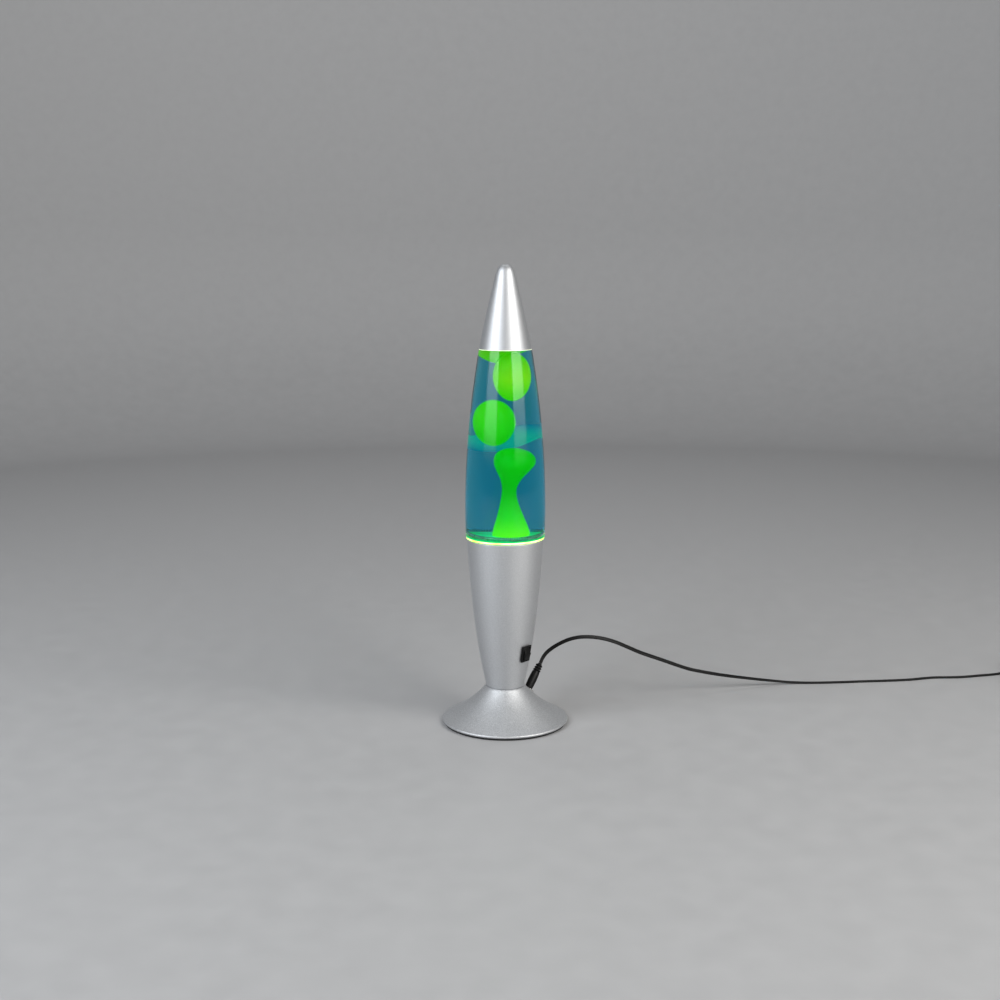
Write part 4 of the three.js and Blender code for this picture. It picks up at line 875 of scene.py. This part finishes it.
def make_heat_ring():
    """A wire wound round a ring: it circles 110 times about a line that goes once round the bottle's
    floor."""
    windings, ring_radius, wind_radius, wire_radius, lift = 110, 27.2, 1.2, 0.35, 0.2
    turn = full_turn(windings * 12)
    wind = windings * turn
    out = ring_radius + wind_radius * np.cos(wind)
    middle = LIQUID_FLOOR + lift + wire_radius + wind_radius
    path = np.stack([out * np.cos(turn), out * np.sin(turn), middle + wind_radius * np.sin(wind)], axis=1)
    finish_piece(
        swept("wound_heat_ring", path, round_wire(wire_radius), sharp=80.0), "steel", "bottle",
        ("wax_heat_ring",))


def make_crown():
    """A thin cap pressed over the lip: its skirt swells out and in again 21 times round, as a cosine,
    and more so the further down it is."""
    profile = np.array([
        (0, 0), (8, 0), (12.2, 0), (13.2, 0.3), (13.8, 1.0), (14.0, 2.2), (14.3, 3.6), (14.7, 4.8),
        (15.0, CROWN_SKIRT), (14.7, CROWN_SKIRT), (14.4, 4.8), (14.0, 3.6), (13.7, 2.2), (13.5, 1.1),
        (12.2, 0.4), (0, 0.3),
    ])
    base, down = profile[:, :1], profile[:, 1:]
    flare = np.clip((down - 1.0) / CROWN_SKIRT, 0, 1)
    turn = full_turn(CROWN_FLUTES * 10)[None, :]
    radius = base + FLUTE_DEPTH * flare * np.cos(CROWN_FLUTES * turn) * (base > 12)
    rings = np.stack([
        radius * np.cos(turn), radius * np.sin(turn), CROWN_TOP - down + 0 * turn], axis=-1)
    finish_piece(surface("crimped_crown", rings, sharp=60.0), "steel", "bottle", ("crown_cap",))


# ---- The cone cap ----

def make_cap():
    """A straight-sided cone with a round nose and a small dimple at its tip, as thin sheet."""
    cone = bezier([
        (CAP_MOUTH, CAP_BOTTOM + 0.3), (19.9, 362.9), (15.7, 382.0), (NOSE_RADIUS, NOSE_START)], 50)
    nose = bezier([(NOSE_RADIUS, NOSE_START), (8.9, 410.1), (7.4, CAP_TOP), (1.7, CAP_TOP - 0.05)], 24)
    dimple = [(1.3, CAP_TOP - 0.25), (0.8, CAP_TOP - 0.9), (0, CAP_TOP - 1.0)]
    outside = np.concatenate([[(CAP_MOUTH - 0.25, CAP_BOTTOM)], cone, nose[1:], dimple])
    inside = moved_in(np.concatenate([cone, nose[1:-6]]), CAP_WALL)
    profile = np.concatenate([
        [(0, CAP_TOP - 2.2)], inside[::-1], [(22.5, CAP_BOTTOM)], outside])
    finish_piece(
        turned("spun_cap", profile, around=160), "satin_silver", "cap", ("cap_shell",))
    # The rolled edge carries a painted highlight: a pale ring that glows with emission.
    edge = bead((CAP_MOUTH - 0.2, CAP_BOTTOM + 0.1), 0.22, 8)
    finish_piece(
        turned("rolled_cap_edge_highlight", edge, closed=True, around=160), "lit_edge", "cap")


# ---- Inside the stem ----

def make_reflector():
    """A thin bowl with a hole in its floor, open upwards."""
    sheet, hole = 0.8, 6.2
    low, top = (corner.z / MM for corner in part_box("reflector_dish"))
    bowl = bezier([(10.8, low), (18.5, low + 3), (22.5, low + 11), (25.5, top)], 30)
    inner = moved_in(bowl, sheet)
    profile = np.concatenate([[(hole, low)], bowl, inner[::-1], [(hole, low + sheet)]])
    finish_piece(
        turned("pressed_reflector", profile, closed=True, around=128), "bright_nickel", "stand",
        ("reflector_dish",))


def make_bulb():
    """A glass capsule with a pinched foot, and across it a filament, which circles as it runs from
    left to right."""
    low, top = (corner.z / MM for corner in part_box("bulb_capsule"))
    dome = arc((0, top - BULB_RADIUS), BULB_RADIUS, 90, 0, 16)
    shoulder, waist, foot = BULB_RADIUS * np.array([0.76, 0.7, 0.62])
    profile = np.concatenate([
        dome, [(BULB_RADIUS, low + 10), (shoulder, low + 7.5), (waist, low + 6), (waist, low + 0.4),
               (foot, low), (0, low)]])
    finish_piece(
        turned("bulb_glass", profile, around=64), "clear_glass", "bulb", ("bulb_capsule",))
    half_length, coil_radius, wire_radius = 2.2, 0.55, 0.1
    turn = np.linspace(0, FILAMENT_TURNS * 2 * math.pi, FILAMENT_TURNS * 14)
    path = np.stack([
        np.linspace(-half_length, half_length, len(turn)),
        coil_radius * np.cos(turn),
        low + FILAMENT_HEIGHT + coil_radius * np.sin(turn),
    ], axis=1)
    finish_piece(swept("filament", path, round_wire(wire_radius), sharp=80.0), "hot_wire", "bulb")


def ease_fittings():
    """Rounds the edges of the nuts, the lamp holder with its bracket, and the base plate."""
    fittings = {
        "jack_nut": (0.25, "bright_nickel"), "holder_nut_upper": (0.3, "steel"),
        "holder_nut_lower": (0.3, "steel"), "stem_nut": (0.3, "steel"), "foot_nut": (0.3, "steel"),
        "lamp_holder": (0.5, "ceramic"), "holder_bracket": (0.3, "steel"),
        "base_plate": (0.3, "black_plastic"),
    }
    for node, (width, finish) in fittings.items():
        finish_piece(eased(node, node + "_eased", width, 2), finish, "stand", (node,))


def dress_frame():
    """Gives every solid that still shows the finish of its slot in the record."""
    for part in frame["record"]["subparts"]:
        node = frame["nodes"][part["node"]]
        if node.hide_render:
            continue
        node.data.materials.clear()
        node.data.materials.append(FINISHES[part["material_slot"]])


bpy.context.scene.view_settings.view_transform = "Standard"
place_camera()
plug = make_plug()
make_lead([plug, *make_supply(), "plug_barrel", "adapter_relief", "adapter_pin_1", "adapter_pin_2"])
pale_cove()
light_studio()
make_pad()
make_foot()
make_stem()
make_switch()
make_bottle()
make_wax()
make_heat_ring()
make_crown()
make_cap()
make_reflector()
make_bulb()
ease_fittings()
dress_frame()
